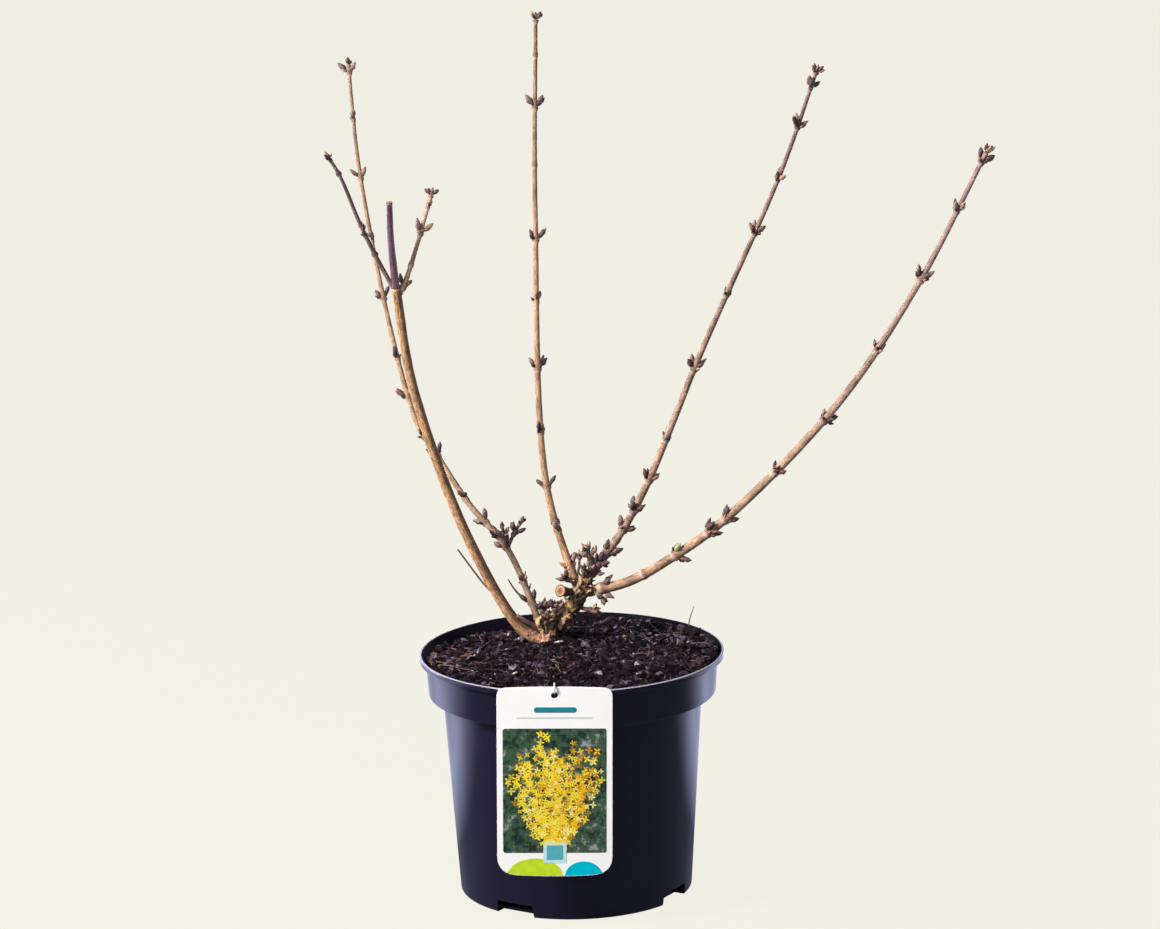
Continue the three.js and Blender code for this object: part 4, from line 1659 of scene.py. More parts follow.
@dataclass
class Compost:
    """Moist dark compost: an uneven bed, its crumbs, shreds, fibres and chips, in millimetres."""

    level: float = 146.4
    rise_right: float = 0.026
    drop_back: float = 0.014
    ground: float = 149
    foot_x: float = -15
    foot_y: float = 36
    mound: float = 36
    heaped: float = 3.6
    banked: float = 6.4
    radius: float = 89.0
    bed_foot: float = 132
    rings: int = 64
    segments: int = 190
    crumbs: int = 2600
    shreds: int = 3600
    fibres: int = 90
    crumb_sizes: Range = (0.7, 2.9)
    shred_sizes: Range = (2.8, 9.0)
    fibre_lengths: Range = (5, 15)
    fibre_radii: Range = (0.12, 0.28)
    crumb_kinds: int = 6
    shred_kinds: int = 5
    seed: int = 77

    CHIPS = (
        (-86, 1, 7.5, 1.6, -8, Crumb.ROSE), (-68, 8, 12, 3.0, 10, Crumb.RED),
        (-65, 13, 6, 1.8, -12, Crumb.ROSE), (-61, 13, 3.2, 2.4, 20, Crumb.PALE),
        (-45, 27, 2.6, 1.6, 40, Crumb.ROSE), (-41, 21, 2.4, 1.4, 10, Crumb.PALE),
        (-37, 28, 5, 1.3, 80, Crumb.MAUVE), (-35, -35, 4.5, 1.3, 30, Crumb.PALE),
        (-20, 0, 5, 1.8, 5, Crumb.ROSE), (-11, -11, 4.2, 1.3, -20, Crumb.PALE),
        (-26, 6, 3.5, 1.2, 60, Crumb.STRAW), (28, 67, 3.4, 2.2, 15, Crumb.LILAC),
        (19, 70, 6, 1.3, 5, Crumb.LILAC), (23, 60, 5, 1.2, -10, Crumb.LILAC),
        (47, 37, 9, 1.0, 4, Crumb.LILAC), (42, 46, 5, 1.0, -6, Crumb.LILAC),
        (51, 55, 6, 1.0, 10, Crumb.LILAC), (73, 24, 2.0, 1.4, 0, Crumb.PALE),
        (38, 28, 2.0, 1.0, 0, Crumb.PALE), (47, 75, 4.2, 3.0, 20, Crumb.MAUVE),
        (56, 79, 4, 2.2, -20, Crumb.LILAC), (-7, 25, 6.5, 3.0, -6, Crumb.PALE),
        (42, -57, 3.5, 2.0, 15, Crumb.STRAW), (-75, -23, 5, 1.6, 12, Crumb.RED),
        (34, 40, 5, 3.4, 10, Crumb.STRAW),
    )
    ROOTS = (
        (0.30, ((75, 16), (82, 12), (87, 6))), (0.32, ((3, 62), (9, 66), (16, 72))),
        (0.28, ((-1, 73), (4, 64), (7, 58))), (0.40, ((-51, -66), (-50, -58), (-48, -59), (-47, -66))),
        (0.42, ((58, -17), (59, -7), (61, 3))), (0.26, ((40, -1), (46, -5), (53, -4))),
        (0.30, ((41, 4), (43, 8), (46, 13))), (0.32, ((-84, -14), (-78, -15), (-69, -28))),
        (0.30, ((-83, -20), (-75, -23), (-65, -18))), (0.34, ((-80, -13), (-72, -25), (-63, -26))),
        (0.32, ((-12, -12), (-9, -18), (-8, -28))), (0.28, ((-10, -18), (-7, -32), (-7, -46))),
        (0.35, ((-64, 57), (-59, 55), (-57, 45))), (0.26, ((50, 68), (53, 55), (57, 48))),
        (0.26, ((-23, -12), (-22, -27), (-20, -43))),
    )

    def plain_height(self, x: float, y: float) -> float:
        """Works out the height of the smooth surface under the crumbs.

        Args:
            x: Its place to the right.
            y: Its place towards the back.

        Returns:
            The height in millimetres.
        """
        opened = self.level + self.rise_right * x - self.drop_back * y
        near = exp(-((hypot(x - self.foot_x, y - self.foot_y) / self.mound) ** 4))
        return opened + (self.ground - opened) * near

    def height(self, x: float, y: float) -> float:
        """Works out the height of the lumpy surface.

        Args:
            x: Its place to the right.
            y: Its place towards the back.

        Returns:
            The height in millimetres.
        """
        lump = noise.fractal(Vector((x, y, 3)) / 9, 0.9, 2.0, 4)
        small = noise.fractal(Vector((x, y, 9)) / 3.2, 0.8, 2.0, 3)
        edge = max(0.0, (hypot(x, y) - 74) / 14)
        far = clamped((y + 0.8 * x - 20) / 70) ** 1.2
        left = max(0.0, -x / self.radius) ** 3 * clamped((hypot(x, y) - 50) / 35)
        right = max(0.0, x / self.radius) ** 4 * clamped((hypot(x, y) - 60) / 28)
        rim = self.heaped * max(far, right) * edge - 1.2 * (1 - far) * edge**2 + self.banked * left
        return self.plain_height(x, y) + 1.6 * lump * (1 - 0.4 * far) + 1.3 * small + rim

    def stretched(self, x: float, y: float) -> Spot:
        """Spreads a spot a little outwards where the surface stands high against the wall.

        Args:
            x: Its place to the right.
            y: Its place towards the back.

        Returns:
            The spread spot.
        """
        high = clamped((self.height(x, y) - 146.5) / 4)
        spread = 1 + 0.028 * high * min(1.0, hypot(x, y) / self.radius) ** 3
        return x * spread, y * spread

    def bed(self) -> Object:
        """Spins the bed and raises its lumps.

        Returns:
            The dressed bed.
        """
        mesh = bmesh.new()
        line = [(self.radius * index / self.rings * MM, 0, 0) for index in range(self.rings + 1)]
        line += [(self.radius * MM, 0, -1), (0, 0, -1)]
        spin_line(mesh, line, self.segments, 1e-7)
        for vert in mesh.verts:
            x, y = vert.co.x / MM, vert.co.y / MM
            if vert.co.z > -0.5:
                wide = self.stretched(x, y)
                vert.co = Vector((*wide, self.height(*wide))) * MM
            else:
                vert.co.z = self.bed_foot * MM
        face_outwards(mesh)
        finish = GrainFinish("compost_bed", Crumb.BLACK.value, 0.7, 0.7, 330, 0.12, 0.9, 0.0012)
        return dress(piece_from("compost_bed", mesh, [finish.make()]), ("soil",))

    def lump_shapes(self) -> list[Shape]:
        """Models a few broken crumbs.

        Returns:
            The crumbs, of a unit radius.
        """
        shapes, draws = [], Draws(5)
        for _ in range(self.crumb_kinds):
            mesh = bmesh.new()
            bmesh.ops.create_icosphere(mesh, subdivisions=1, radius=1)
            for vert in mesh.verts:
                vert.co *= draws.between(0.45, 1.35)
                vert.co.y *= 0.6
                vert.co.z *= 1.5
            shapes.append(Shape.from_bmesh(mesh))
        return shapes

    def shred_shapes(self) -> list[Shape]:
        """Models a few bent shreds of bark.

        Returns:
            The shreds, a unit long.
        """
        shapes, draws = [], Draws(6)
        for _ in range(self.shred_kinds):
            mesh = bmesh.new()
            bmesh.ops.create_cone(mesh, cap_ends=True, segments=5, radius1=0.5, radius2=0.28, depth=1)
            bmesh.ops.subdivide_edges(
                mesh, edges=[e for e in mesh.edges if abs(e.verts[0].co.z - e.verts[1].co.z) > 0.5], cuts=2,
            )
            bend = draws.between(-0.5, 0.5)
            for vert in mesh.verts:
                vert.co.x += bend * (0.25 - vert.co.z**2)
                vert.co.y *= draws.between(0.5, 1.1)
            shapes.append(Shape.from_bmesh(mesh))
        return shapes

    def spot(self, draws: Draws, margin: float) -> Spot:
        """Picks an even random spot on the surface.

        Args:
            draws: The draws that place it.
            margin: How far it stays off the wall.

        Returns:
            The spot.
        """
        reach = (self.radius - margin) * sqrt(draws.draw())
        angle = draws.between(0, tau)
        return reach * cos(angle), reach * sin(angle)

    def tone(self, draws: Draws, x: float, y: float) -> int:
        """Picks a crumb's colour: redder to the left, greyer to the right, and blacker where painted shadow
        lies.

        Args:
            draws: The draws that pick it.
            x: Its place to the right.
            y: Its place towards the back.

        Returns:
            The colour's index.
        """
        draw, tones = draws.draw(), list(Crumb)
        red = 0.004 + 0.04 * max(0.0, -x / self.radius)
        mauve = 0.15 + 0.11 * abs(x) / self.radius
        # The share of pale lilac crumbs, partly painted glints, grows towards the right back.
        lilac = 0.006 + 0.045 * max(0.0, (x + y) / self.radius)
        # Painted shadow: more black crumbs just behind the plant's right side and towards the front of the
        # bed.
        shaded = exp(-(((x - 22) / 34) ** 2) - ((y - 34) / 22) ** 2) + bell(y + 60, 30)
        patch = 0.5 + 0.9 * noise.noise(Vector((x, y, 5)) / 11)
        steps = (
            (0.24 + 0.5 * max(0.0, patch) + 0.8 * min(1.0, shaded), Crumb.BLACK),
            (0.30, Crumb.DARK), (0.17, Crumb.UMBER),
            (mauve, Crumb.MAUVE), (red, Crumb.RED), (lilac, Crumb.LILAC),
        )
        draw *= sum(share for share, _ in steps)
        for share, tone in steps:
            if draw < share:
                return tones.index(tone)
            draw -= share
        return tones.index(Crumb.DARK)

    def scatter(self) -> Object:
        """Strews crumbs and shreds over the bed.

        Returns:
            The dressed crumbs.
        """
        heap, draws = Heap("compost_crumbs"), Draws(self.seed)
        lumps, shreds = self.lump_shapes(), self.shred_shapes()
        for index in range(self.crumbs + self.shreds):
            long = index >= self.crumbs
            least, more = self.shred_sizes if long else self.crumb_sizes
            size = least + more * draws.draw() ** (1.8 if long else 2.0)
            x, y = self.stretched(*self.spot(draws, 0.45 * size + 0.5))
            lift = draws.between(-0.3, 0.5) * (0.8 if long else size)
            place = Vector((x, y, self.height(x, y) + lift)) * MM
            heading = draws.between(0, tau)
            rise = draws.between(-0.35, 0.45) if long else draws.between(-1, 1)
            direction = Vector((cos(heading), sin(heading), rise)).normalized()
            if long:
                thick = 0.45 + 1.9 * draws.draw() ** 2
                scale = (thick * MM, thick * draws.between(0.4, 0.9) * MM, size * MM)
                shape = shreds[int(draws.draw() * len(shreds))]
            else:
                scale = tuple(size * draws.between(0.55, 1.15) * MM for _ in range(3))
                shape = lumps[int(draws.draw() * len(lumps))]
            spin = draws.between(0, tau)
            heap.add(shape, turned(place, direction, scale, spin), self.tone(draws, x, y))
        materials = [grained("compost_", [tone], *tone.gloss(), 0.7, 0.0005)[0] for tone in Crumb]
        return dress(heap.build(materials), smooth=False)

    def fibre(self, mesh: BMesh, places: Sequence[Vector], radius: float) -> None:
        """Adds one thin strand through a few places, in millimetres."""
        limb = Limb([tuple(place) for place in places], Taper(radius, radius, radius * 0.45))
        Stem(limb, sides=5, step=1.3, roughness=0.1).roll(mesh)

    def strands(self) -> Object:
        """Strews thin curled roots and straws, some of them standing up a little.

        Returns:
            The dressed strands.
        """
        mesh, draws = bark_sheet(), Draws(self.seed + 1)
        for _ in range(self.fibres):
            x, y = self.spot(draws, 9)
            heading, curl = draws.between(0, tau), draws.between(-1.1, 1.1)
            length = draws.between(*self.fibre_lengths)
            places = []
            for step in range(4):
                lift = 1.1 + draws.between(-0.5, 1.3)
                places.append(Vector((x, y, self.height(x, y) + lift)))
                x += cos(heading) * length / 3
                y += sin(heading) * length / 3
                if hypot(x, y) > self.radius - 2:
                    x, y = x * 0.97, y * 0.97
                heading += curl / 2
            self.fibre(mesh, places, draws.between(*self.fibre_radii))
        self.fibre(mesh, [Vector(p) for p in ((74, 52, 147), (75, 52, 156), (78, 52, 165))], 0.5)
        face_outwards(mesh)
        straw = BarkFinish(
            "root_fibre", (0.17, 0.12, 0.10), (0.12, 0.085, 0.075), (0.24, 0.18, 0.14),
            (0.05, 0.035, 0.03), (0.5, 0.4, 0.33), 0.7,
        )
        return dress(piece_from("compost_fibres", mesh, [straw.make()]))

    def roots(self) -> Object:
        """Lays the few pale roots and straws that stand out, each through places on the surface.

        Returns:
            The dressed roots.
        """
        mesh = bark_sheet()
        for radius, places in self.ROOTS:
            points = []
            for index, (x, y) in enumerate(places):
                lift = 1.3 + 0.9 * (index % 2)
                points.append(Vector((x, y, self.height(x, y) + lift)))
            self.fibre(mesh, points, radius)
        face_outwards(mesh)
        pale = BarkFinish(
            "pale_root", (0.30, 0.22, 0.16), (0.21, 0.155, 0.13), (0.34, 0.27, 0.23),
            (0.08, 0.055, 0.05), (0.55, 0.46, 0.40), 0.6,
        )
        return dress(piece_from("pale_roots", mesh, [pale.make()]))

    def chips(self) -> Object:
        """Lays the larger chips: pale by the plant's foot, reddish at the left, greyer at the right, and pale
        lilac at the right back, partly as painted glints.

        Returns:
            The dressed chips.
        """
        heap, lumps, tones = Heap("bark_chips"), self.lump_shapes(), list(Crumb)
        for index, (x, y, long, thick, heading, tone) in enumerate(self.CHIPS):
            inward = min(1.0, (self.radius - 4) / hypot(x, y))
            x, y = x * inward, y * inward
            place = Vector((x, y, self.height(x, y) + 0.5 * thick + 0.4)) * MM
            turn = radians(heading)
            direction = Vector((cos(turn), sin(turn), 0.12))
            size = (thick / 2 * MM, thick / 2 * 0.75 * MM, long / 2.7 * MM)
            heap.add(lumps[index % len(lumps)], turned(place, direction, size, index), tones.index(tone))
        return dress(heap.build(grained("chip_", tones, 0.7, 0.35, 500, 0.2, 0.5, 0.0004)))

    def build(self) -> None:
        """Builds the whole bed of compost."""
        self.bed()
        self.scatter()
        self.strands()
        self.roots()
        self.chips()


# -------- the label


class PetalTone(Enum):
    """The plain print colours of the blossom on the label."""

    LEMON = (0.93, 0.72, 0.05)
    GOLD = (0.90, 0.50, 0.02)
    AMBER = (0.72, 0.29, 0.02)
    CREAM = (0.95, 0.84, 0.30)
    SHADE = (0.42, 0.24, 0.02)


@dataclass
class PlantLabel:
    """The card that hangs from the rim: white, with a printed panel of blossom, in millimetres."""

    width: float = 70
    height: float = 119
    top: float = 155.6
    x: float = -10.5
    back: float = -96.6
    thickness: float = 0.9
    tilt: float = 1.1
    top_corner: float = 6
    foot_corner: float = 13
    arch: float = 1.2
    hole_radius: float = 2.0
    hole_drop: float = 4.8
    panel: tuple[float, float, float, float] = (-31.4, -104, 31.4, -25.5)
    ink: float = 0.06
    sprays: int = 17
    on_spray: int = 46

    @property
    def place(self) -> Matrix:
        """Stands the flat card up in front of the pot.

        Returns:
            The card's place.
        """
        stand = Matrix.Rotation(pi / 2, 4, "X")
        tilt = Matrix.Rotation(radians(self.tilt), 4, "Y")
        return Matrix.Translation(Vector((self.x, self.back, self.top)) * MM) @ tilt @ stand

    @staticmethod
    def bend(start: tuple[float, float], corner: tuple[float, float], end: tuple[float, float]) -> list[Spot]:
        """Draws a curve that leans on a corner.

        Args:
            start: Its first point.
            corner: The corner.
            end: Its last point.

        Returns:
            Points along it.
        """
        points = []
        for step in range(9):
            t = step / 8
            points.append(tuple(
                start[k] * (1 - t) ** 2 + corner[k] * 2 * t * (1 - t) + end[k] * t**2 for k in range(2)
            ))
        return points

    def outline(self) -> list[Spot]:
        """Draws the card's edge, from its top left corner round to the right.

        Returns:
            Its points.
        """
        half, low, arch = self.width / 2, -self.height, self.arch
        top, foot = self.top_corner, self.foot_corner
        return [
            *self.bend((-half + top, 0), (-half, 0), (-half, -top)),
            *self.bend((-half, low + foot), (-half, low + arch), (-half + foot, low + arch / 2)),
            *self.bend(
                (-half + foot, low + arch / 2), (0, low - arch / 2), (half - foot, low + arch / 2)
            )[1:-1],
            *self.bend((half - foot, low + arch / 2), (half, low + arch), (half, low + foot)),
            *self.bend((half, -top), (half, 0), (half - top, 0)),
            *self.bend((half - top, 0), (0, arch), (-half + top, 0))[1:-1],
        ]

    def mound(self, middle: float, half: float, rise: float) -> list[Spot]:
        """Returns a low round mound that stands on the card's lower edge.

        Args:
            middle: Its middle, right of the card's.
            half: Half of its width.
            rise: How high it rises over the edge.

        Returns:
            Its outline.
        """
        edge = sorted(point for point in self.outline() if point[1] < -self.height / 2)
        across = np.linspace(middle - half, middle + half, 33)
        foot = np.interp(across, [x for x, _ in edge], [y for _, y in edge]) + 0.35
        top = -self.height + rise * np.sqrt(np.clip(1 - ((across - middle) / half) ** 2, 0, 1))
        points = list(zip(across.tolist(), foot.tolist()))
        return points + [(x, max(y, low)) for x, y, low in zip(across[::-1], top[::-1], foot[::-1] + 0.05)]

    @staticmethod
    def circle(
        x: float, y: float, radius: float, first: float = 0, last: float = 360, steps: int = 28
    ) -> list[Spot]:
        """Draws a circle or a part of one.

        Args:
            x: Its middle's place to the right.
            y: Its middle's place upwards.
            radius: Its radius.
            first: Its first angle in degrees.
            last: Its last angle in degrees.
            steps: The steps round it.

        Returns:
            Its points.
        """
        count = steps + (last - first < 360)
        turns = [radians(first + (last - first) * i / steps) for i in range(count)]
        return [(x + radius * cos(t), y + radius * sin(t)) for t in turns]

    @staticmethod
    def box(left: float, low: float, right: float, high: float, corner: float) -> list[Spot]:
        """Draws a box with round corners.

        Args:
            left: Its left edge.
            low: Its lower edge.
            right: Its right edge.
            high: Its upper edge.
            corner: The corners' radius.

        Returns:
            Its points.
        """
        points = []
        for x, y, first in (
            (right - corner, high - corner, 0), (left + corner, high - corner, 90),
            (left + corner, low + corner, 180), (right - corner, low + corner, 270),
        ):
            points += PlantLabel.circle(x, y, corner, first, first + 90, 6)
        return points

    def sheet(
        self, name: str, outlines: Sequence[Sequence[Spot]], base: float, thickness: float,
        material: Material, edge: float = 0.0,
    ) -> Object:
        """Cuts a flat sheet from outlines and lays it on the card.

        Args:
            name: The piece's name.
            outlines: Its outer edge and holes, in the card's plane.
            base: How far its back lies above the card's back.
            thickness: Its thickness.
            material: Its finish.
            edge: The rounding of its edges.

        Returns:
            The sheet, in place.
        """
        curve = bpy.data.curves.new(name, "CURVE")
        curve.dimensions = "2D"
        curve.fill_mode = "BOTH"
        curve.extrude = (thickness / 2 - edge) * MM
        curve.bevel_depth = edge * MM
        curve.bevel_resolution = 1
        curve.offset = -edge * MM
        for outline in outlines:
            spline = curve.splines.new("POLY")
            spline.points.add(len(outline) - 1)
            spline.use_cyclic_u = True
            for point, (x, y) in zip(spline.points, outline):
                point.co = (x * MM, y * MM, 0, 1)
        piece = applied(linked(name, curve))
        lift = Matrix.Translation((0, 0, (base + thickness / 2) * MM))
        piece.data.transform(self.place @ lift)
        piece.data.materials.clear()
        piece.data.materials.append(material)
        return piece

    def printed(self, name: str, outline: Sequence[Spot], colour: Colour, layer: int) -> None:
        """Prints one plain shape on the card's face.

        Args:
            name: The shape's name.
            outline: Its edge.
            colour: Its ink.
            layer: How many inks deep it lies.
        """
        base = self.thickness + self.ink * (layer - 1) - 0.01
        ink = GrainFinish(name + "_ink", colour, 0.38, 0.06, 300, 0.05, 0.0001, 0.5).make()
        dress(self.sheet(name, [outline], base, self.ink, ink), smooth=False)

    def panel_finish(self) -> Material:
        """Makes the printed background of leaves in shade.

        Returns:
            The material.
        """
        sheet = ShaderSheet("panel_shade")
        set_sockets(sheet.shader, {"Roughness": 0.38})
        leaves = sheet.noise(sheet.place((1, 1, 1)), 190, 5, 0.7)
        colour = sheet.ramp(leaves, (
            (0.38, (0.006, 0.010, 0.012)), (0.45, (0.012, 0.045, 0.020)), (0.50, (0.045, 0.13, 0.045)),
            (0.55, (0.035, 0.022, 0.06)), (0.60, (0.16, 0.26, 0.10)), (0.66, (0.30, 0.29, 0.42)),
        ))
        sheet.paint(colour)
        return sheet.material

    def petal_shape(self) -> Shape:
        """Models a flat open flower of four pointed petals.

        Returns:
            The flower, a unit across.
        """
        mesh = bmesh.new()
        for index in range(4):
            angle = index * pi / 2
            centre = Vector((cos(angle), sin(angle), 0)) * 0.27
            petal = bmesh.ops.create_circle(mesh, cap_ends=True, segments=6, radius=1)["verts"]
            for vert in petal:
                vert.co = Vector((vert.co.x * 0.25, vert.co.y * 0.11, 0))
            turn = Matrix.Translation(centre) @ Matrix.Rotation(angle, 4, "Z")
            bmesh.ops.transform(mesh, matrix=turn, verts=petal)
        return Shape.from_bmesh(mesh)

    def blossom(self) -> None:
        """Scatters printed blossom along arching sprays that fan out of the panel's foot."""
        heap, draws, flower = Heap("label_blossom"), Draws(31), self.petal_shape()
        left, low, right, high = self.panel
        tones = list(PetalTone)
        for spray in range(self.sprays):
            lean = -1 + 2 * spray / (self.sprays - 1)
            reach = (high - low) * draws.between(0.66, 0.97)
            for index in range(self.on_spray):
                along = (index + draws.draw()) / self.on_spray
                x = lean * (right - 4) * (0.12 + 0.88 * along**0.8) + draws.between(-3.2, 3.2)
                rise = reach * (along ** (0.8 + 0.5 * abs(lean))) * (1 - 0.22 * abs(lean))
                y = low + 5 + rise + draws.between(-2, 2)
                if not (left + 2.4 < x < right - 2.4 and low + 2.4 < y < high - 2.4):
                    continue
                size = draws.between(2.8, 5.2)
                warm = 0.35 + 0.4 * (x / right) + draws.between(-0.4, 0.4)
                tone = PetalTone.AMBER if warm > 0.88 else PetalTone.GOLD if warm > 0.5 else PetalTone.LEMON
                drawn = draws.draw()
                if drawn < 0.26:
                    tone = PetalTone.CREAM if drawn < 0.12 else PetalTone.SHADE
                lift = self.thickness + self.ink + 0.02 + 0.1 * draws.draw()
                turn = Matrix.Rotation(draws.between(0, tau), 4, "Z")
                spread = Matrix.Diagonal((size * MM, size * MM, MM, 1))
                spot = Matrix.Translation(Vector((x, y, lift)) * MM) @ turn @ spread
                heap.add(flower, self.place @ spot, tones.index(tone))
        inks = grained("petal_", tones, 0.4, 0.12, 900, 0.05, 0.0001, 0.4)
        dress(heap.build(inks), smooth=False)

    def build(self) -> None:
        """Builds the card, its print and its hook."""
        white = GrainFinish("label_white", (0.96, 0.965, 0.965), 0.3, 0.02, 40, 0.04, 0.0002, 0.5).make()
        hole = self.circle(0, -self.hole_drop, self.hole_radius)
        card = self.sheet("label_card", [self.outline(), hole], 0, self.thickness, white, 0.15)
        dress(card, ("plant_label",), smooth=False)
        edge = self.box(*self.panel, 1.6)
        panel = self.sheet("label_panel", [edge], self.thickness - 0.01, self.ink, self.panel_finish())
        dress(panel, smooth=False)
        self.printed("label_title_bar", self.box(-12.5, -15.6, 13.5, -12.2, 1.6), (0.02, 0.22, 0.27), 1)
        self.printed("label_title_rule", self.box(-23, -19.2, 23, -18.6, 0.28), (0.42, 0.5, 0.5), 1)
        self.printed("label_square", self.box(-7, -110.4, 7, -97.2, 0.8), (0.55, 0.78, 0.83), 3)
        self.printed("label_square_mark", self.box(-5, -108.4, 5, -99.2, 0.6), (0.10, 0.42, 0.50), 4)
        self.printed("label_mound_green", self.mound(-12, 17, 11.5), (0.53, 0.74, 0.03), 1)
        self.printed("label_mound_blue", self.mound(17.5, 11.5, 9.5), (0.0, 0.48, 0.62), 1)
        self.blossom()
        self.hook()

    def hook(self) -> None:
        """Bends the stiff wire that stands on the compost and holds the card by its hole."""
        radius, rise, reach = 0.5, 1.1, 15
        front = self.back - self.thickness
        over = self.top + self.arch + radius + 0.3
        eye = self.top - self.hole_drop + self.hole_radius - radius - 0.3
        foot = self.back + reach
        ground = Compost().plain_height(self.x, foot) + radius + 0.3
        limb = Limb(
            [(self.x, foot, ground), (self.x, self.back + reach / 2, 152 + radius + rise),
             (self.x, self.back, over + radius), (self.x, front - 2 * radius - 0.3, (over + eye) / 2 + 1),
             (self.x, front - radius, eye + radius), (self.x, self.back + radius, eye)],
            Taper(radius, radius, radius),
        )
        mesh = bark_sheet()
        Stem(limb, sides=10, step=0.5, roughness=0.0).roll(mesh)
        face_outwards(mesh)
        dress(piece_from("hook_wire", mesh, [HOOK_PALE.make()]), ("label_hook",))


# -------- the studio


class Softbox(Enum):
    """The studio's lights: place in metres, width and height, watts and colour."""

    KEY = ((-1.77, -1.10, 1.75), (0.5, 0.5), 125.0, (1.0, 0.95, 0.88))
    LEFT = ((-1.5, 0.9, 0.5), (0.5, 1.2), 16.0, (0.80, 0.84, 1.0))
    FRONT = ((-0.5, -2.6, 1.1), (1.4, 1.0), 18.5, (0.89, 0.91, 1.0))
    RIGHT = ((2.1, -0.2, 1.1), (1.0, 1.2), 9.0, (1.0, 0.91, 0.80))


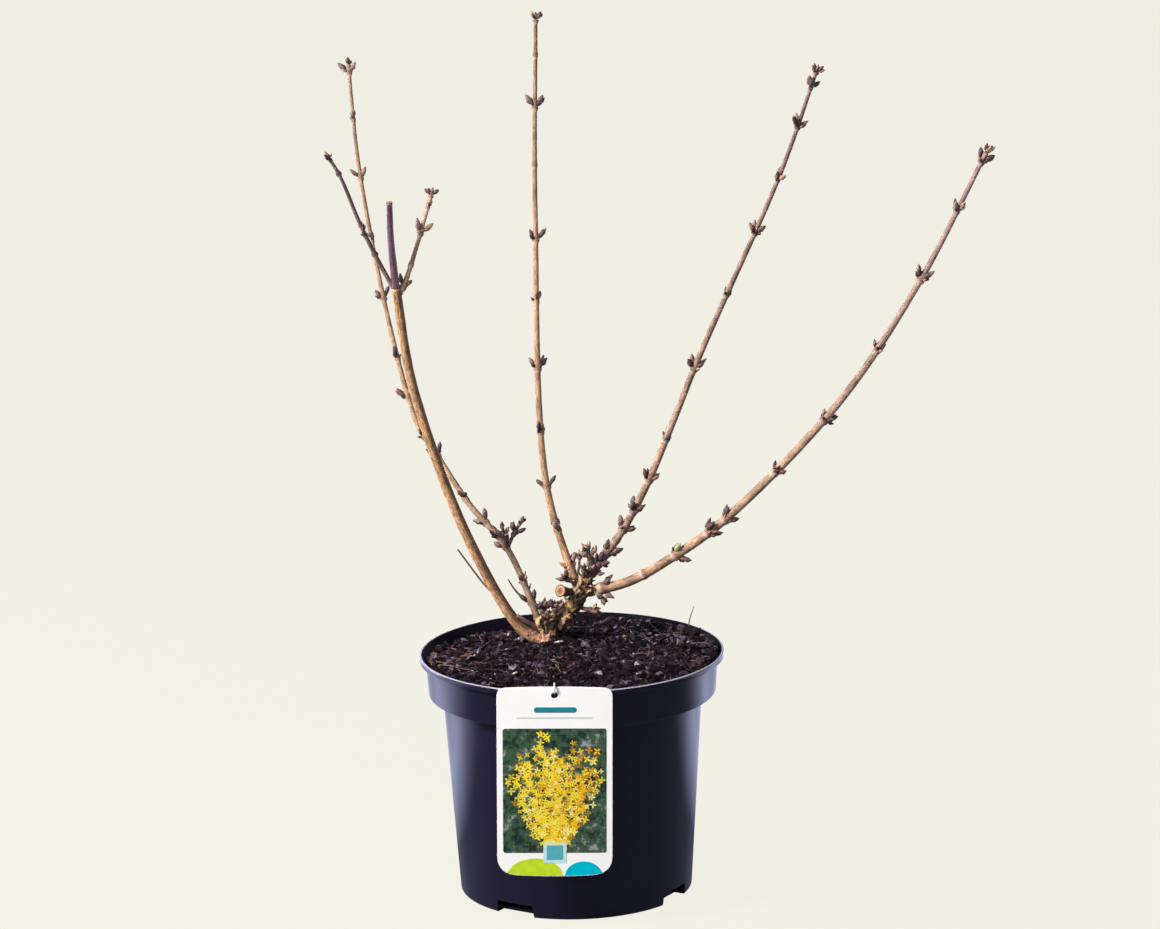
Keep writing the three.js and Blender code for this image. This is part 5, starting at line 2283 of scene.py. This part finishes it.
@dataclass
class Studio:
    """A plain pale studio and the camera, a little above the pot's rim and far off."""

    paper: Colour = (0.876, 0.855, 0.768)
    backlight: Colour = (0.74, 0.78, 1.0)
    wall_strength: float = 0.7
    room_strength: float = 0.08
    floor_albedo: float = 0.024
    floor_glow: float = 0.992
    floor_bounce: float = 0.06
    floor_gloss: tuple[float, float, float] = (0.29, 2.8, 0.4)
    gloss_aside: Range = (0.105, 0.265)
    gloss_near: Range = (-0.12, 0.05)
    gloss_far: Range = (0.50, 0.56)
    sheen_tint: Colour = (0.62, 0.67, 1.0)
    aim: Place = (7.7, 0, 270.8)
    distance: float = 2800
    pitch: float = 12.97
    roll: float = -1.21
    focal_pixels: float = 4535
    frame_width: float = 1160
    sensor: float = 36
    clip_end: float = 50
    floor_size: float = 6
    light_aim: Place = (0, 0, 0.22)

    def camera(self) -> None:
        """Stands the camera and makes it the scene's."""
        lens = bpy.data.cameras.new("camera")
        lens.sensor_fit = "HORIZONTAL"
        lens.sensor_width = self.sensor
        lens.lens = self.focal_pixels / self.frame_width * self.sensor
        lens.clip_end = self.clip_end
        pitch = radians(self.pitch)
        aim = Vector(self.aim)
        eye = aim + Vector((0, -cos(pitch), sin(pitch))) * self.distance
        camera = linked("camera", lens)
        turn = (aim - eye).to_track_quat("-Z", "Y").to_matrix().to_4x4()
        roll = Matrix.Rotation(radians(self.roll), 4, "Z")
        camera.matrix_world = Matrix.Translation(eye * MM) @ turn @ roll
        bpy.context.scene.camera = camera

    def lights(self) -> None:
        """Hangs the softboxes, all turned to the plant."""
        for box in Softbox:
            place, (width, height), watts, colour = box.value
            light = bpy.data.lights.new("softbox_" + box.name.lower(), "AREA")
            light.shape, light.size, light.size_y = "RECTANGLE", width, height
            light.energy, light.color = watts, colour
            lamp = linked(light.name, light)
            turn = (Vector(self.light_aim) - Vector(place)).to_track_quat("-Z", "Y").to_matrix().to_4x4()
            lamp.matrix_world = Matrix.Translation(place) @ turn

    def mirrored(self, sheet: ShaderSheet, x: NodeSocket, y: NodeSocket) -> NodeSocket:
        """Returns how bright the ground is as the pot's gloss mirrors it.

        Args:
            sheet: The ground's shader sheet.
            x: The place's X.
            y: The place's Y.

        Returns:
            The strength: dim in front, bright aside, less so close behind the pot.
        """
        aside = sheet.sum_of(x, 0.0, "ABSOLUTE")
        leaning = sheet.sum_of(sheet.sum_of(aside, 0.3, "MULTIPLY"), sheet.sum_of(x, -0.12, "MULTIPLY"))
        dim, bright, close = self.floor_gloss
        around = sheet.stretch(sheet.sum_of(leaning, y), *self.gloss_aside, dim, bright)
        near = sheet.stretch(sheet.sum_of(y, aside, "SUBTRACT"), *self.gloss_near, 1.0, close)
        far = sheet.stretch(y, *self.gloss_far, 0.0, 1.2 - close)
        return sheet.sum_of(around, sheet.sum_of(near, far), "MULTIPLY")

    def floor(self) -> None:
        """Lays the pale ground, which glows as the wall does and keeps only soft shadows."""
        mesh = bmesh.new()
        bmesh.ops.create_grid(mesh, x_segments=8, y_segments=8, size=self.floor_size)
        sheet = ShaderSheet("studio_paper")
        cloud = sheet.noise(sheet.place(), 3, 2)
        matt = tuple(c * self.floor_albedo for c in self.paper)
        sheet.paint(sheet.ramp(cloud, ((0.3, tuple(c * 0.97 for c in matt)), (0.7, matt))))
        path, split = sheet.add("LightPath"), sheet.add("SeparateXYZ")
        sheet.link(sheet.place(), split.inputs["Vector"])
        gloss = self.mirrored(sheet, split.outputs["X"], split.outputs["Y"])
        unseen = sheet.add("Mix")
        unseen.inputs["A"].default_value = self.floor_bounce
        sheet.link(path.outputs["Is Glossy Ray"], unseen.inputs["Factor"])
        sheet.link(gloss, unseen.inputs["B"])
        glow = sheet.add("Mix")
        glow.inputs["B"].default_value = self.floor_glow
        sheet.link(path.outputs["Is Camera Ray"], glow.inputs["Factor"])
        sheet.link(unseen.outputs["Result"], glow.inputs["A"])
        sheet.link(glow.outputs["Result"], sheet.shader.inputs["Emission Strength"])
        tint = sheet.blend(path.outputs["Is Camera Ray"], self.sheen_tint, self.paper)
        sheet.link(tint, sheet.shader.inputs["Emission Color"])
        set_sockets(sheet.shader, {"Roughness": 0.95, "Specular IOR Level": 0.0})
        piece_from("studio_floor", mesh, [sheet.material])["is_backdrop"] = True

    def room(self) -> None:
        """Lights the room: a bright wall behind the plant, and a dim one before it."""
        world = bpy.data.worlds.new("studio")
        world.use_nodes = True
        nodes, links = world.node_tree.nodes, world.node_tree.links
        where, split = nodes.new("ShaderNodeTexCoord"), nodes.new("ShaderNodeSeparateXYZ")
        links.new(where.outputs["Generated"], split.inputs["Vector"])
        fall = nodes.new("ShaderNodeMapRange")
        fall.interpolation_type = "SMOOTHSTEP"
        set_sockets(fall, {
            "From Min": 0.45, "From Max": 0.85, "To Min": self.room_strength, "To Max": self.wall_strength,
        })
        links.new(split.outputs["Y"], fall.inputs["Value"])
        wall = nodes["Background"]
        set_sockets(wall, {"Color": (*self.backlight, 1)})
        links.new(fall.outputs["Result"], wall.inputs["Strength"])
        seen = nodes.new("ShaderNodeBackground")
        set_sockets(seen, {"Color": (*self.paper, 1), "Strength": 1.0})
        path, choice = nodes.new("ShaderNodeLightPath"), nodes.new("ShaderNodeMixShader")
        links.new(path.outputs["Is Camera Ray"], choice.inputs["Fac"])
        links.new(wall.outputs["Background"], choice.inputs[1])
        links.new(seen.outputs["Background"], choice.inputs[2])
        links.new(choice.outputs["Shader"], nodes["World Output"].inputs["Surface"])
        bpy.context.scene.world = world
        bpy.context.scene.view_settings.view_transform = "Standard"

    def build(self) -> None:
        """Builds the studio."""
        self.camera()
        self.lights()
        self.floor()
        self.room()


def corners(bounds: Sequence[Vector]) -> list[list[float]]:
    """Returns a box's two corners as plain lists of numbers."""
    return [[float(value) for value in corner] for corner in bounds]


def main() -> None:
    """Builds the studio, the pot, its compost and label, and the plant."""
    logging.basicConfig(level=logging.INFO, format="%(name)s: %(message)s")
    packed = corners(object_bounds())
    Studio().build()
    NurseryPot().build()
    Compost().build()
    PlantLabel().build()
    Plant().build()
    {"cad": packed, "visual": corners(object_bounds())}


if __name__ == "__main__":
    main()
